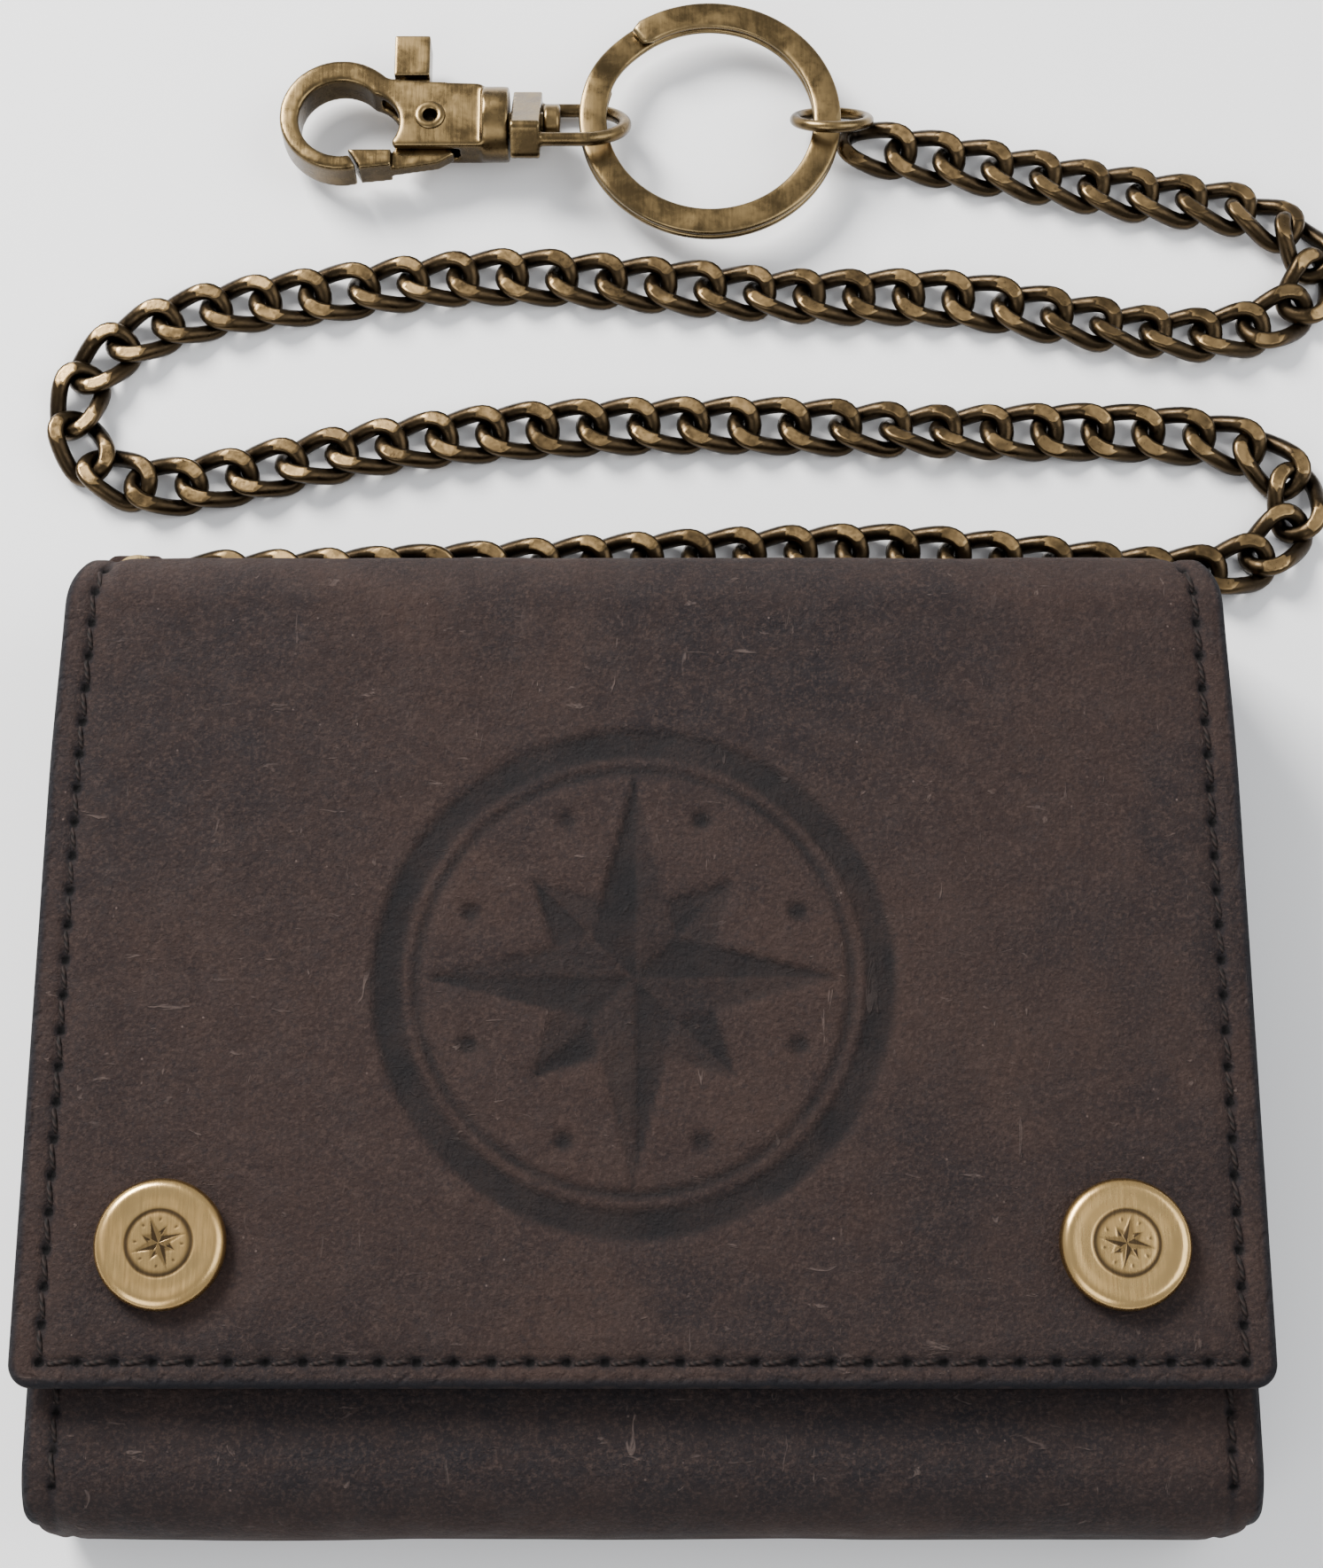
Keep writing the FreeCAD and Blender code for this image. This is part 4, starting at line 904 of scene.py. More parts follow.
def place_flap(across, first, second):
    """The flap is a little narrower towards the hinge side, and more so where it goes round the
    fold."""
    taper = 0.5 * MM * soft_step(first, 24 * MM, 50 * MM)
    shoulder = 1.4 * MM * soft_step(first, 44 * MM, 53 * MM) ** 2
    half = FLAP_HALF - taper - shoulder
    return np.stack([across * half / FLAP_HALF, first, second], axis=-1)


def place_cover(across, first, second):
    """Rounds the lower corners in plan."""
    a = np.abs(across) - (COVER_HALF - CORNER_ROUND)
    b = (COVER_LOW.y + CORNER_ROUND) - first
    inside = (a > 0) & (b > 0)
    reach = np.maximum(np.hypot(a, b), TINY)
    scale = np.where(inside, np.maximum(a, b) / reach, 1.0)
    x = np.where(inside, np.sign(across) * (COVER_HALF - CORNER_ROUND + a * scale), across)
    y = np.where(inside, COVER_LOW.y + CORNER_ROUND - b * scale, first)
    return np.stack([x, y, second], axis=-1)


def spaced(points, pitch):
    """Points at an even pitch along a line of (x, s) points, with the direction at each."""
    points = np.array(points)
    steps = np.hypot(*np.diff(points, axis=0).T)
    run = np.concatenate([[0], np.cumsum(steps)])
    count = int(run[-1] // pitch)
    start = (run[-1] - count * pitch) / 2
    marks = start + pitch * (np.arange(count) + 0.5)
    x = np.interp(marks, run, points[:, 0])
    s = np.interp(marks, run, points[:, 1])
    ahead = 0.3 * MM
    way_x = np.interp(marks + ahead, run, points[:, 0]) - np.interp(marks - ahead, run, points[:, 0])
    way_s = np.interp(marks + ahead, run, points[:, 1]) - np.interp(marks - ahead, run, points[:, 1])
    size = np.hypot(way_x, way_s)
    return np.stack([x, s, way_x / size, way_s / size], axis=-1)


def corner_line(half, long, corner, inset, hem, start):
    """Down one side, round the corners and up the other, in (x, s)."""
    side_points, end_points = 240, 320
    line = [(-(half - inset), s) for s in np.linspace(start, long - hem, side_points)]
    line += [(x, long - hem) for x in np.linspace(-(half - inset), half - inset, end_points)[1:]]
    line += [(half - inset, s) for s in np.linspace(long - hem, start, side_points)[1:]]
    out = []
    for x, s in line:
        a, b = abs(x) - (half - corner), s - (long - corner)
        if a > 0 and b > 0:
            scale = max(a, b) / math.hypot(a, b)
            x = math.copysign(half - corner + a * scale, x)
            s = long - corner + b * scale
        out.append((x, s))
    return out


def dimple(x, s, marks, reach, depth):
    """Small pits where the needle went through, at the ends of each stitch."""
    total = np.zeros_like(x)
    for mark in marks:
        near = (np.abs(x - mark[0]) < 3 * reach) & (np.abs(s - mark[1]) < 3 * reach)
        total[near] += depth * bell(np.hypot(x[near] - mark[0], s[near] - mark[1]), reach)
    return np.minimum(total, depth)


def seam_painted_shade(groove, pits):
    """How much painted shade darkens the leather along a seam's groove and in its needle holes, from 0
    to 1.
    """
    return np.clip(groove * 0.40 + pits / HOLE_SHADE_DEPTH, 0, 1)


def holes_of(marks, pitch):
    """The needle holes of a row of stitches: one at each end of each stitch."""
    ends = [(x - way_x * pitch / 2, s - way_s * pitch / 2) for x, s, way_x, way_s in marks]
    x, s, way_x, way_s = marks[-1]
    return ends + [(x + way_x * pitch / 2, s + way_s * pitch / 2)]


def stitches_on(name, marks, strip, place, sink, sizes):
    """Thread along marks on a strip's outer face, each stitch lying sink below it."""
    points, facings, ways = [], [], []
    for x, s, way_x, way_s in marks:
        first, second, out_first, out_second = strip.at(s)
        ahead_first, ahead_second = -out_second, out_first
        here = place(np.array(x), np.array(first - out_first * sink),
                     np.array(second - out_second * sink))
        points.append(here)
        facings.append((0, out_first, out_second))
        ways.append((way_x, way_s * ahead_first, way_s * ahead_second))
    shape = helper_object("stitch_shape", stitch_shape(sizes.thread, sizes.stitch_pitch))
    carrier = stitch_row(points, facings, ways)
    mesh = repeated(name, carrier, shape, finish_of("waxed_thread"), repeat_tree(name, False))
    bpy.data.objects.remove(shape)
    return mesh


def compass_rose(x, y, radius):
    """How strongly a point is pressed by an eight-pointed star inside two rings, from 0 to 1. Radii
    inside are shares of the motif's own."""
    r = np.hypot(x, y) / radius
    angle = np.arctan2(y, x)
    soft = 0.0055

    def inside(distance):
        return 1 / (1 + np.exp(-distance / soft))

    def points_of(tip, waist, turn):
        slice_of = math.pi / 2
        folded = (angle - turn + slice_of / 2) % slice_of - slice_of / 2
        a = slice_of / 2
        bound = tip * waist * math.sin(a) / (
            tip * np.sin(np.abs(folded)) + waist * np.sin(a - np.abs(folded)) + TINY)
        return bound - r, folded

    broad, fine = (0.885, 1.0), (0.815, 0.845)
    ring = inside(broad[1] - r) * inside(r - broad[0]) + inside(fine[1] - r) * inside(r - fine[0])
    long_room, long_fold = points_of(0.80, 0.23, math.pi / 2)
    short_room, short_fold = points_of(0.55, 0.27, math.pi / 4)
    faint = 0.55
    star = inside(long_room) * np.where(long_fold > 0, 1.0, faint)
    star = np.maximum(star, inside(short_room) * np.where(short_fold > 0, 1.0, faint)
                      * (long_room < 0))
    dots = np.zeros_like(r)
    dot_count, dot_circle, dot_radius = 8, 0.68, 0.035
    for k in range(dot_count):
        way = (k + 0.5) * 2 * math.pi / dot_count
        away = np.hypot(x / radius - dot_circle * math.cos(way),
                        y / radius - dot_circle * math.sin(way))
        dots = np.maximum(dots, inside(dot_radius - away))
    return np.clip(ring + np.maximum(star, dots), 0, 1)


# ---- pieces ---------------------------------------------------------------------

class WalletOperator:
    """What the operators share: each builds its pieces from the scene's sizes."""
    bl_options = {"REGISTER", "UNDO"}

    def execute(self, context):
        self.build(context.scene.wallet_sizes)
        return {"FINISHED"}


class WALLET_OT_stage(WalletOperator, bpy.types.Operator):
    """Pale floor, soft lights and the camera"""
    bl_idname = "wallet.stage"
    bl_label = "Stage"

    def build(self, sizes):
        reach = FLOOR_REACH
        corners = [(-reach, -reach, 0), (reach, -reach, 0), (reach, reach, 0), (-reach, reach, 0)]
        floor = build_mesh("studio_floor", corners, [(0, 1, 2, 3)], smooth=False)
        made = helper_object("studio_floor", floor)
        floor.materials.append(finish_of("studio_floor"))
        for name, place, size, power, tint in SOFTBOXES:
            light = bpy.data.lights.new(name, "AREA")
            light.shape = "SQUARE"
            light.size = size
            light.energy = power
            light.color = tint
            lamp = helper_object(name, light)
            lamp.location = place
            aim = LAMP_AIM - Vector(place)
            lamp.rotation_euler = aim.to_track_quat("-Z", "Y").to_euler()
        world = bpy.data.worlds.new("studio_air")
        world.use_nodes = True
        sky = world.node_tree.nodes["Background"]
        sky.inputs["Color"].default_value = AIR_TINT
        sky.inputs["Strength"].default_value = AIR_STRENGTH
        bpy.context.scene.world = world
        eye = bpy.data.cameras.new("front_camera")
        eye.lens = CAMERA_LENS
        eye.clip_start = 0.01
        camera = helper_object("front_camera", eye)
        camera.location = CAMERA_PLACE
        camera.rotation_euler = (CAMERA_TILT, 0, 0)
        bpy.context.scene.camera = camera


def chain_line():
    """The chain's centre line as a smooth curve through its route, on the ground."""
    curve = bpy.data.curves.new("chain_route", "CURVE")
    curve.dimensions = "3D"
    curve.resolution_u = 12
    spline = curve.splines.new("NURBS")
    spline.points.add(len(CHAIN_ROUTE) - 1)
    for point, (x, y) in zip(spline.points, CHAIN_ROUTE):
        point.co = (x, y, CHAIN_HEIGHT, 1)
    spline.order_u = 3
    spline.use_endpoint_u = True
    holder = helper_object("chain_route", curve)
    bpy.context.view_layer.update()
    mesh = bpy.data.meshes.new_from_object(holder)
    points = [v.co.copy() for v in mesh.vertices]
    bpy.data.objects.remove(holder)
    return mesh, points


def curb_link(sizes):
    """One twisted curb link with ground flats above and below. It lies along X."""
    a = (sizes.link_long - sizes.link_wire) / 2
    w = (sizes.link_wide - sizes.link_wire) / 2
    h = 0.52 * sizes.link_wire
    r = sizes.link_wire / 2
    fuller = 0.12
    ground_through = 0.12 * MM
    around, sides = 36, 12
    corners, facet = [], []
    for i in range(around):
        t = 2 * math.pi * i / around
        centre = Vector((a * math.cos(t), w * math.sin(t) * (1 + fuller * math.cos(2 * t)),
                         h * math.sin(2 * t)))
        ahead = Vector((-a * math.sin(t), w * math.cos(t), 2 * h * math.cos(2 * t))).normalized()
        side = ahead.cross(Vector((0, 0, 1))).normalized()
        up = side.cross(ahead)
        for k in range(sides):
            c = 2 * math.pi * k / sides
            p = centre + side * (r * math.cos(c)) + up * (r * math.sin(c))
            ground = max(0.0, abs(p.z) - sizes.link_flat)
            facet.append(min(1.0, ground / ground_through))
            p.z = max(-sizes.link_flat, min(sizes.link_flat, p.z))
            corners.append(p)
    faces = tube_faces(around, sides, True)
    mesh = repair(build_mesh("curb_link", corners, faces, {"facet": facet}))
    ground = mesh.attributes["facet"].data
    for face in mesh.polygons:
        face.use_smooth = min(ground[k].value for k in face.vertices) < 0.99
    return mesh


class WALLET_OT_chain(WalletOperator, bpy.types.Operator):
    """Curb chain from the tab's ring to the end link"""
    bl_idname = "wallet.chain"
    bl_label = "Chain"

    def build(self, sizes):
        mesh, points = chain_line()
        roll = 1.6
        long = sum((b - a).length for a, b in zip(points, points[1:]))
        count = int(round(long / sizes.link_pitch)) + 1
        carrier = helper_object("chain_carrier", mesh)
        tree = repeat_tree("links_along_chain", True)
        shape = helper_object("curb_link", curb_link(sizes))
        links = repeated("wallet_chain_links", carrier, shape, finish_of("oxidised_chain"), tree,
                         count, roll)
        bpy.data.objects.remove(shape)
        made = add_piece("wallet_chain_links", links, finish_of("oxidised_chain"), "wallet",
                         ["wallet_chain"])
        dress(["tab_ring"], "oxidised_chain")
        dress(["end_link"], "aged_brass")
        nodes = frame["nodes"]
        on_chain = [nodes[n] for n in ("end_link", "tab_ring", "tab_eyelet", "swivel_post")]
        on_chain += [bpy.data.objects[n] for n in ("chain_tab_leather", "split_ring_turns",
                                                   "swivel_eye_cast", "hook_body_cast",
                                                   "trigger_cast", "trigger_coil", "hook_rivet")]


class WALLET_OT_cover(WalletOperator, bpy.types.Operator):
    """Outer leather of the back, the bottom fold and the front panel"""
    bl_idname = "wallet.cover"
    bl_label = "Cover"

    def build(self, sizes):
        strip = cover_strip()
        half = COVER_HALF
        inset = sizes.stitch_inset
        runs = ((MOUTH_INSET, FRONT_SEAM_END), (BACK_SEAM_START, strip.length - BACK_SEAM_END))
        sides = []
        for side in (-1, 1):
            for low, high in runs:
                sides.append(spaced([(side * (half - inset), low), (side * (half - inset), high)],
                                    sizes.stitch_pitch))
        end = half - MOUTH_SEAM_ENDS
        sides.append(spaced([(-end, MOUTH_INSET), (end, MOUTH_INSET)], sizes.stitch_pitch))
        marks = np.concatenate(sides)
        holes = [h for row in sides for h in holes_of(row, sizes.stitch_pitch)]

        def relief(x, s, edge, side, far):
            groove = bell(side - inset, SEAM_GROOVE)
            mouth = bell(s - MOUTH_INSET, SEAM_GROOVE) * (side > 5 * MM)
            groove = np.maximum(groove, mouth)
            pits = dimple(x, s, holes, NEEDLE_REACH, 0.55 * MM)
            swell = ripple(x, s, 26 * MM, 0.35 * MM, 3.0) + ripple(x, s, 7 * MM, 0.07 * MM, 9.0)
            swell *= soft_step(side, 0, 6 * MM)
            swell -= 0.35 * MM * soft_step(side, 5 * MM, 0)
            # The back lies on the ground, so nothing swells out of it and its hollows are shallow.
            lie = soft_step(s, 70 * MM, 90 * MM)
            swell = np.where(swell > 0, swell * (1 - lie), swell * (1 - 0.5 * lie))
            # Painted shade: the middle of the front panel is darkened from under the flap down to near
            # the bottom fold, fading out towards the sides.
            shade = soft_step(s, 72 * MM, 63 * MM) * soft_step(half - np.abs(x), 6 * MM, 30 * MM)
            return swell - 0.22 * MM * groove - pits, {"groove": seam_painted_shade(groove, pits),
                                                       "shade": shade}

        mesh = sheet_piece("cover_leather", strip, half, COVER_THICK, 1.5 * sizes.grid, place_cover,
                           (True, False), relief=relief, lines=SEWN_LINES)
        add_piece("cover_leather", repair(mesh), finish_of("waxed_leather"), "wallet",
                  ["outer_cover"])
        thread = stitches_on("cover_stitches", marks, strip, place_cover, 0.38 * MM, sizes)
        add_piece("cover_stitches", thread, finish_of("waxed_thread"), "wallet")


class WALLET_OT_flap(WalletOperator, bpy.types.Operator):
    """Flap leather over the fold, with its pressed motif and stitching"""
    bl_idname = "wallet.flap"
    bl_label = "Flap"

    def build(self, sizes):
        strip = flap_strip()
        half, long = FLAP_HALF, strip.length
        seam = corner_line(half, long, CORNER_ROUND, sizes.stitch_inset, sizes.hem_inset,
                           FLAP_SEAM_START)
        marks = spaced(seam, sizes.stitch_pitch)
        holes = holes_of(marks, sizes.stitch_pitch)
        caps = [sum(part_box("snap_cap_" + n), Vector()) / 2 for n in ("left", "right")]
        seat_out, seat_in = 12.5 * MM, 6.9 * MM

        def relief(x, s, edge, side, far):
            y = FLAP_LOW.y + (long - s)
            line = np.minimum(side - sizes.stitch_inset, far - sizes.hem_inset)
            groove = bell(line, 0.62 * MM)
            pits = dimple(x, s, holes, NEEDLE_REACH, 0.60 * MM)
            calm = soft_step(s, 14 * MM, 30 * MM)
            swell = ripple(x, s, 34 * MM, 0.55 * MM, 1.0) * calm
            swell += ripple(x, s, 9 * MM, 0.14 * MM, 5.0)
            seat = np.zeros_like(x)
            for cap in caps:
                away = np.hypot(x - cap.x, y - cap.y)
                seat = np.maximum(seat, soft_step(away, seat_out, seat_in))
            swell *= (1 - seat) * soft_step(edge, 0, 7 * MM)
            rise = 0.22 * MM * soft_step(line, 0.2 * MM, 2.6 * MM) * (1 - seat)
            pressed = compass_rose(x - MOTIF_PLACE.x, y - MOTIF_PLACE.y, sizes.emboss_radius)
            pressed *= 0.80 + 0.20 * soft_step(ripple(x, s, 5 * MM, 1.0, 12.0), -0.35, 0.15)
            raised = swell + rise - 0.25 * MM * groove - pits - sizes.emboss * pressed
            # Two darker, more handled patches.
            left = 0.5 * soft_step(np.hypot(x + 50 * MM, y - 26 * MM), 30 * MM, 8 * MM)
            upper = 0.45 * soft_step(np.hypot(x - 20 * MM, y - 36 * MM), 22 * MM, 5 * MM)
            dusk = np.maximum(left, upper)
            return raised, {"groove": seam_painted_shade(groove, pits), "pressed": pressed, "shade": dusk}

        mesh = sheet_piece("flap_leather", strip, half, FLAP_THICK, sizes.grid, place_flap,
                           (False, True), edge_round=FLAP_EDGE_ROUND, corner=CORNER_ROUND,
                           relief=relief, hem=FLAP_HEM, lines=SEWN_LINES)
        made = add_piece("flap_leather", repair(mesh), finish_of("waxed_leather"), None,
                         ["flap_outer"])
        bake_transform(made)
        thread = stitches_on("flap_stitches", marks, strip, place_flap, 0.42 * MM, sizes)
        made = add_piece("flap_stitches", thread, finish_of("waxed_thread"), None)
        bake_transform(made)


def panel_on(node, name, body, material, corner=0.0, grid=PANEL_GRID, mouth=0.0,
             swell=0.12 * MM):
    """A flat leather panel with soft edges in the space of a CAD node, its face towards +Z.
    mouth is how far a creased line runs from its upper edge."""
    low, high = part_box(node)
    strip = Strip([(high.y, high.z, 0), ((low.y + high.y) / 2, high.z, 0.01 * MM),
                   (low.y, high.z - 1e-6, 0)])
    middle = (low.x + high.x) / 2

    def place(across, first, second):
        return np.stack([across + middle, first, second], axis=-1)

    def relief(x, s, edge, side, far):
        wave = ripple(x, s, 22 * MM, swell, 2.0 + low.z * 1000) - swell
        line = bell(s - mouth, 0.5 * MM) * 0.12 * MM if mouth else 0.0
        return np.minimum(wave, 0) * soft_step(edge, 0, 5 * MM) - line, {}

    mesh = sheet_piece(name, strip, (high.x - low.x) / 2, high.z - low.z, grid, place,
                       corner=corner, relief=relief, every=6)
    return add_piece(name, repair(mesh), finish_of(material), body, [node])


class WALLET_OT_inside(WalletOperator, bpy.types.Operator):
    """Linings, note divider and card slots"""
    bl_idname = "wallet.inside"
    bl_label = "Inside"

    def build(self, sizes):
        for node in ("back_lining", "front_lining", "note_divider", "card_slot_back",
                     "card_slot_middle", "card_slot_front"):
            panel_on(node, node + "_sheet", "wallet", "pebbled_lining",
                     LINING_CORNER, mouth=1.4 * MM, swell=0.10 * MM)
        panel_on("flap_lining", "flap_lining_sheet", "flap", "pebbled_lining",
                 CORNER_ROUND - 1.2 * MM, swell=0.08 * MM)


class WALLET_OT_gussets(WalletOperator, bpy.types.Operator):
    """Side gussets, folded inward once"""
    bl_idname = "wallet.gussets"
    bl_label = "Gussets"

    def build(self, sizes):
        for node, sign in (("gusset_left", -1), ("gusset_right", 1)):
            low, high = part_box(node)
            edge = max(abs(low.x), abs(high.x))
            near = edge - GUSSET_FOLD
            strip = Strip([(edge, low.z, 0), (near, low.z + GUSSET_CREASE, GUSSET_ROUND),
                           (near, high.z - GUSSET_CREASE, GUSSET_ROUND), (edge, high.z, 0)])
            middle = (low.y + high.y) / 2

            def place(across, first, second):
                return np.stack([sign * first, across + middle, second], axis=-1)

            def relief(x, s, edge, side, far):
                return -np.abs(ripple(x, s, 12 * MM, 0.25 * MM, 4.0 + sign)), {}

            mesh = sheet_piece(node + "_leather", strip, (high.y - low.y) / 2, GUSSET_THICK,
                               GUSSET_GRID, place, (False, False), relief=relief, every=4)
            add_piece(node + "_leather", repair(mesh), finish_of("waxed_leather"), "wallet",
                      [node])


class WALLET_OT_coin_pocket(WalletOperator, bpy.types.Operator):
    """Coin pocket and the zip across its mouth"""
    bl_idname = "wallet.coin_pocket"
    bl_label = "Coin pocket"

    def build(self, sizes):
        low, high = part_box("coin_pocket")
        half = high.x
        middle = (low.z + high.z) / 2
        strip = Strip([(high.y, high.z, 0), (low.y, high.z, BAG_ROUND), (low.y, low.z, BAG_ROUND),
                       (high.y, low.z, 0)])

        def place(across, first, second):
            side = half - np.abs(across)
            flat = 0.30 + 0.70 * np.sqrt(soft_step(side, 0, 9 * MM))
            return np.stack([across, first, middle + (second - middle) * flat], axis=-1)

        def relief(x, s, edge, side, far):
            wave = np.abs(ripple(x, s, 18 * MM, 0.30 * MM, 7.0)) * soft_step(edge, 0, 6 * MM)
            return -wave, {}

        mesh = sheet_piece("coin_pocket_bag", strip, half, BAG_THICK, PANEL_GRID, place,
                           relief=relief, every=5)
        add_piece("coin_pocket_bag", repair(mesh), finish_of("pebbled_lining"), "wallet",
                  ["coin_pocket"])
        for node in ("zip_tape_back", "zip_tape_front"):
            panel_on(node, node + "_cloth", "wallet", "zip_twill", grid=TAPE_GRID,
                     swell=0.02 * MM)
        dress(["zip_teeth_back", "zip_teeth_front", "zip_stops", "zip_slider", "zip_pull"],
              "aged_brass")


class WALLET_OT_snaps(WalletOperator, bpy.types.Operator):
    """Snap caps with an etched star, and the dressed parts below them"""
    bl_idname = "wallet.snaps"
    bl_label = "Snaps"

    def build(self, sizes):
        dress(["snap_socket_left", "snap_socket_right", "snap_stud_left", "snap_stud_right",
               "snap_rivet_left", "snap_rivet_right"], "aged_brass")
        dress(["snap_spring_left", "snap_spring_right"], "bright_steel")
        for name, turn in (("snap_cap_left", 0.35), ("snap_cap_right", -0.2)):
            low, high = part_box(name)
            middle = (low + high) / 2
            radius, top, foot = (high.x - low.x) / 2, high.z, FLAP_HIGH.z - 0.35 * MM
            profile = [(0, foot), (radius - 0.9 * MM, foot), (radius - 0.3 * MM, foot + 0.12 * MM)]
            lip, undercut, lip_steps = 1.15 * MM, 0.5, 12
            lip_height = top - 1.23 * MM
            for k in range(lip_steps + 1):
                a = -undercut + (math.pi / 2 + undercut) * k / lip_steps
                profile.append((radius - lip + lip * math.cos(a), lip_height + lip * math.sin(a)))
            inner = radius - lip
            rings, sides = 34, 120
            face_drop, dish = 0.08 * MM, 0.05 * MM
            for k in range(1, rings + 1):
                r = inner * (1 - k / rings)
                profile.append((r, top - face_drop - dish * soft_step(r, inner, 0.8 * inner)))
            corners, faces = solid_of_turning(profile, sides)
            etched = []
            placed = []
            for x, y, z in corners:
                flat = z > top - 0.2 * MM and math.hypot(x, y) < inner
                mark = float(compass_rose(np.array(x), np.array(y), CAP_MOTIF_RADIUS)) if flat else 0.0
                etched.append(mark)
                placed.append((middle.x + x * math.cos(turn) - y * math.sin(turn),
                               middle.y + x * math.sin(turn) + y * math.cos(turn),
                               z - CAP_ETCH * mark))
            mesh = repair(build_mesh(name + "_gilt", placed, faces, {"etched": etched}))
            add_piece(name + "_gilt", mesh, finish_of("gilt_cap"), "flap", [name])


def cast_from(node, name, body, voxel, passes, material):
    """A cast part: the CAD node's shape remeshed in small voxels and smoothed in a few passes, so
    its edges go soft."""
    source = frame["nodes"][node]
    mesh = repair(source.data.copy(), 1e-6)
    made = helper_object(name, mesh)
    mesh.materials.clear()
    remesh = made.modifiers.new("remesh", "REMESH")
    remesh.mode = "VOXEL"
    remesh.voxel_size = voxel
    smooth = made.modifiers.new("smooth", "SMOOTH")
    smooth.factor = 0.5
    smooth.iterations = passes
    bpy.context.view_layer.update()
    ready = made.evaluated_get(bpy.context.evaluated_depsgraph_get())
    result = bpy.data.meshes.new_from_object(ready)
    result.name = name
    bpy.data.objects.remove(made)
    result.polygons.foreach_set("use_smooth", [True] * len(result.polygons))
    return add_piece(name, result, finish_of(material), body, [node])


class WALLET_OT_tab(WalletOperator, bpy.types.Operator):
    """Leather tab that holds the chain's ring"""
    bl_idname = "wallet.tab"
    bl_label = "Chain tab"

    def build(self, sizes):
        made = cast_from("chain_tab", "chain_tab_leather", "wallet", 0.16 * MM, 5, "waxed_leather")
        count = len(made.data.vertices)
        for field, value in (("edge", 0.35), ("groove", 0.0), ("pressed", 0.0), ("shade", 0.0)):
            layer = made.data.attributes.new(field, "FLOAT", "POINT")
            layer.data.foreach_set("value", [value] * count)
        dress(["tab_eyelet"], "aged_brass")


class WALLET_OT_split_ring(WalletOperator, bpy.types.Operator):
    """Split ring of flat wire that goes round almost twice"""
    bl_idname = "wallet.split_ring"
    bl_label = "Split ring"

    def build(self, sizes):
        low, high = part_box("split_ring")
        middle = (low + high) / 2
        band = 3.4 * MM
        thick = 0.98 * MM
        radius = (high.x - low.x) / 2 - band / 2
        rise = (high.z - low.z - thick) / 2
        first, full, step_from, step_to = math.radians(128), math.radians(691), 323.0, 360.0
        steps = 280
        square_wide, square_thick = 0.42, 0.55
        outline = []
        for c, s in round_outline(1.0, 20):
            outline.append((band / 2 * math.copysign(abs(c) ** square_wide, c),
                            thick / 2 * math.copysign(abs(s) ** square_thick, s)))
        centres, widths, heights = [], [], []
        for k in range(steps + 1):
            turned = full * k / steps
            angle = first - turned
            drop = soft_step(math.degrees(turned), step_from, step_to)
            out = Vector((math.cos(angle), math.sin(angle), 0))
            centres.append(Vector((middle.x, middle.y, middle.z + rise * (1 - 2 * drop)))
                           + out * radius)
            ends = min(k, steps - k)
            taper = 1 - 0.16 * max(0, 2 - ends)
            widths.append(out * taper)
            heights.append(Vector((0, 0, 1)) * taper)
        mesh = sweep("split_ring_turns", centres, widths, heights, outline)
        add_piece("split_ring_turns", mesh, finish_of("aged_brass"), "ring",
                  ["split_ring"])


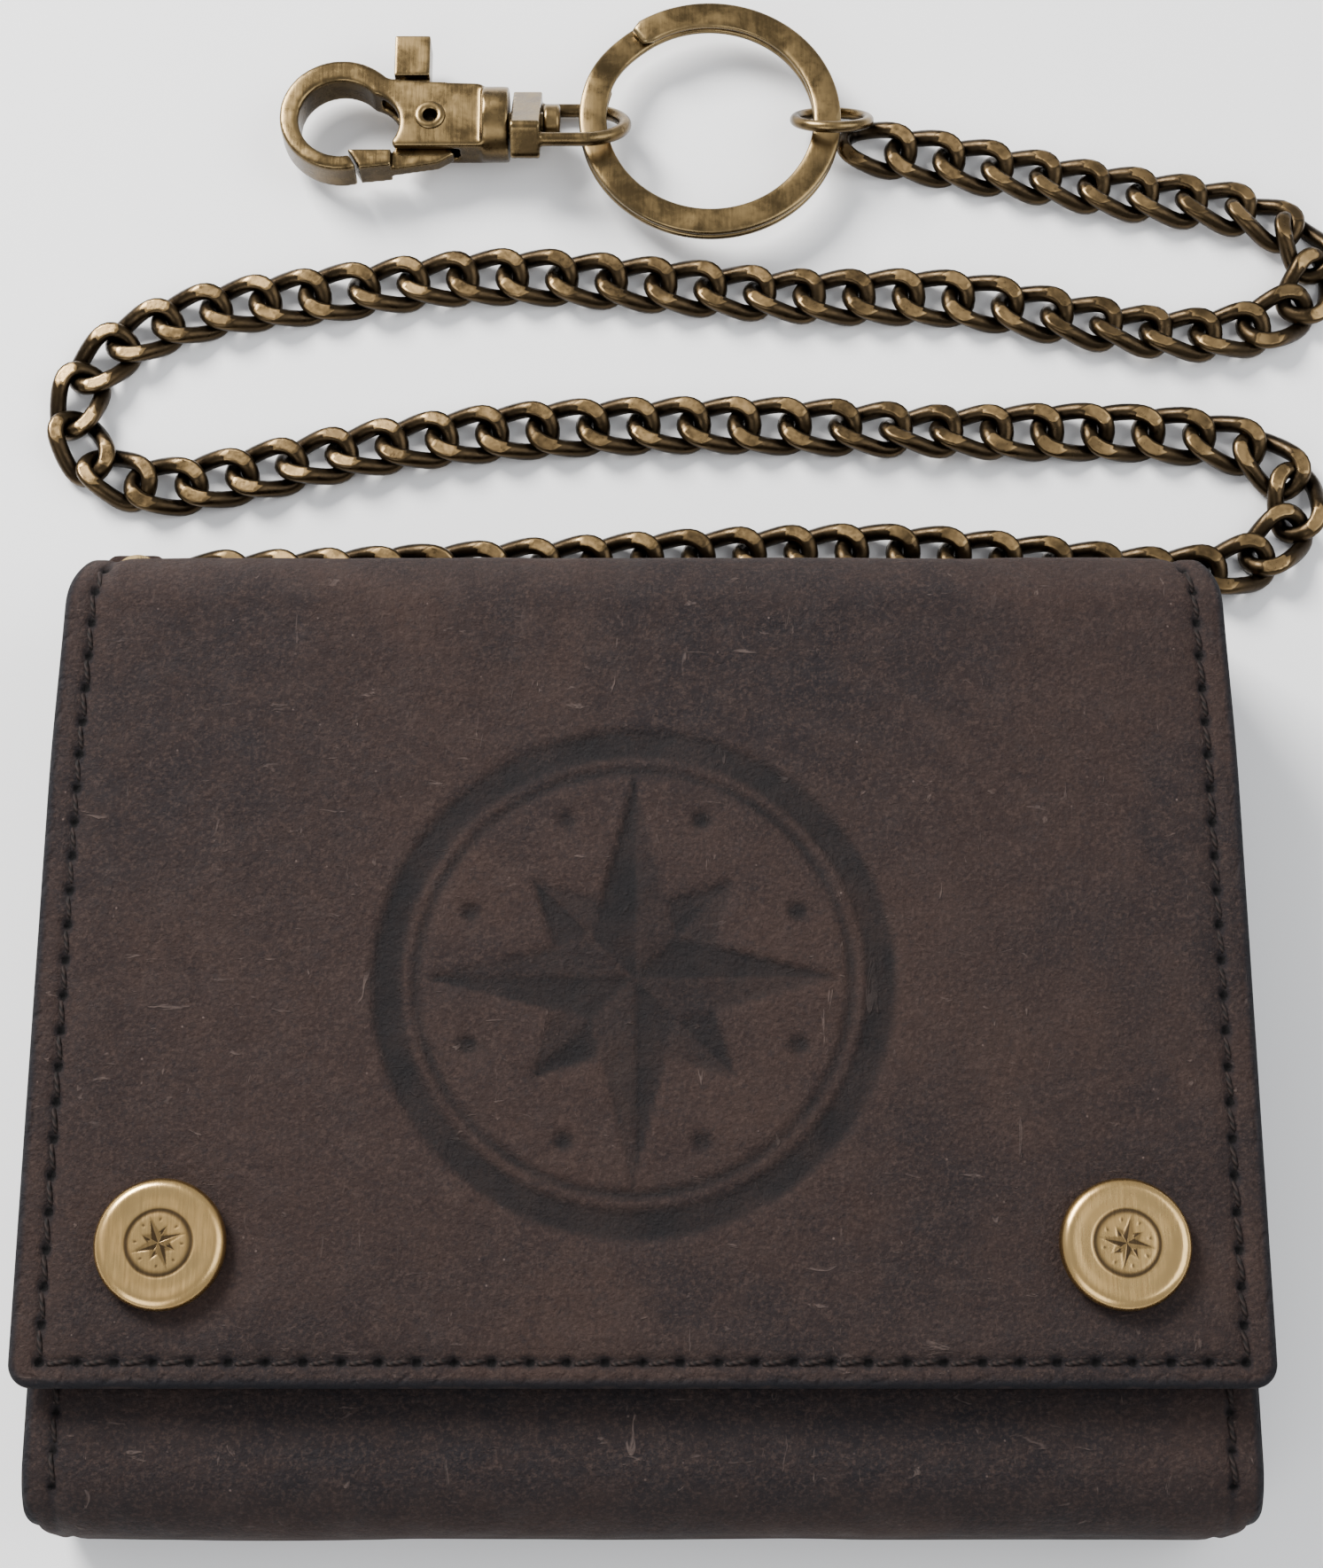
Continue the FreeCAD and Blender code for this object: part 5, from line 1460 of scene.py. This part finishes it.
class WALLET_OT_hook(WalletOperator, bpy.types.Operator):
    """Trigger hook: bow, swivel eye, trigger and its coil spring"""
    bl_idname = "wallet.hook"
    bl_label = "Trigger hook"

    def build(self, sizes):
        for node, body, voxel, passes in (("hook_body", "hook", 0.19 * MM, 22),
                                          ("swivel_eye", "eye", 0.17 * MM, 4),
                                          ("trigger", "lever", 0.15 * MM, 14)):
            cast_from(node, node + "_cast", body, voxel, passes, "aged_brass")
        dress(["swivel_post"], "aged_brass")
        self.rivet()
        low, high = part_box("trigger_spring")
        middle = (low + high) / 2
        wire = 0.16 * MM
        radius = (high.z - low.z) / 2 - wire
        turns, steps = 6, 120
        centres, widths, heights = [], [], []
        for k in range(steps + 1):
            a = 2 * math.pi * turns * k / steps
            out = Vector((0, math.cos(a), math.sin(a)))
            along = low.x + wire + (high.x - low.x - 2 * wire) * k / steps
            centres.append(Vector((along, middle.y, middle.z)) + out * radius)
            widths.append(out)
            heights.append(Vector((1, 0, 0)))
        mesh = sweep("trigger_coil", centres, widths, heights, round_outline(wire, 8))
        made = add_piece("trigger_coil", mesh, finish_of("bright_steel"), "hook",
                         ["trigger_spring"])
        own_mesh(made)

    def rivet(self):
        """The hollow pivot rivet, its ends rolled over."""
        low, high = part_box("trigger_rivet")
        middle = (low + high) / 2
        bore, shank, rim = 0.85 * MM, 1.25 * MM, (high.x - low.x) / 2
        roll = (rim - bore) / 2
        half = (high.z - low.z) / 2
        flatness, roll_steps, sides = 0.55, 12, 48
        profile = []
        for sign in (-1, 1):
            for k in range(roll_steps + 1):
                a = math.pi * k / roll_steps
                profile.append((bore + roll + sign * roll * math.cos(a),
                                sign * (half - flatness * roll + flatness * roll * math.sin(a))))
            profile.append((shank, sign * (half - 0.75 * roll)) if sign < 0 else (bore, 0))
        corners, faces = solid_of_turning(profile + [profile[0]], sides)
        corners = [(middle.x + x, middle.y + y, middle.z + z) for x, y, z in corners]
        mesh = repair(build_mesh("hook_rivet", corners, faces), 1e-7)
        body = frame["nodes"]["trigger_rivet"]["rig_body"]
        add_piece("hook_rivet", mesh, finish_of("aged_brass"), body,
                  ["trigger_rivet"])


OPERATORS = (WALLET_OT_stage, WALLET_OT_tab, WALLET_OT_split_ring, WALLET_OT_hook, WALLET_OT_chain,
             WALLET_OT_cover, WALLET_OT_flap, WALLET_OT_inside, WALLET_OT_gussets,
             WALLET_OT_coin_pocket, WALLET_OT_snaps)


class WALLET_PT_panel(bpy.types.Panel):
    """Lists the wallet's sizes, colours and pieces"""
    bl_idname = "WALLET_PT_panel"
    bl_label = "Chain wallet"
    bl_space_type = "VIEW_3D"
    bl_region_type = "UI"
    bl_category = "Wallet"

    def draw(self, context):
        for group in (context.scene.wallet_sizes, context.scene.wallet_colours):
            box = self.layout.box()
            for key in group.bl_rna.properties.keys():
                if key not in ("rna_type", "name"):
                    box.prop(group, key)
        for operator in OPERATORS:
            self.layout.operator(operator.bl_idname)


CLASSES = (WalletSizes, WalletColours, *OPERATORS, WALLET_PT_panel)


def register():
    for item in CLASSES:
        bpy.utils.register_class(item)
    bpy.types.Scene.wallet_sizes = bpy.props.PointerProperty(type=WalletSizes)
    bpy.types.Scene.wallet_colours = bpy.props.PointerProperty(type=WalletColours)


def unregister():
    del bpy.types.Scene.wallet_colours
    del bpy.types.Scene.wallet_sizes
    for item in reversed(CLASSES):
        bpy.utils.unregister_class(item)


def main():
    register()
    for operator in OPERATORS:
        group, name = operator.bl_idname.split(".")
        getattr(getattr(bpy.ops, group), name)()


if __name__ == "__main__":
    main()
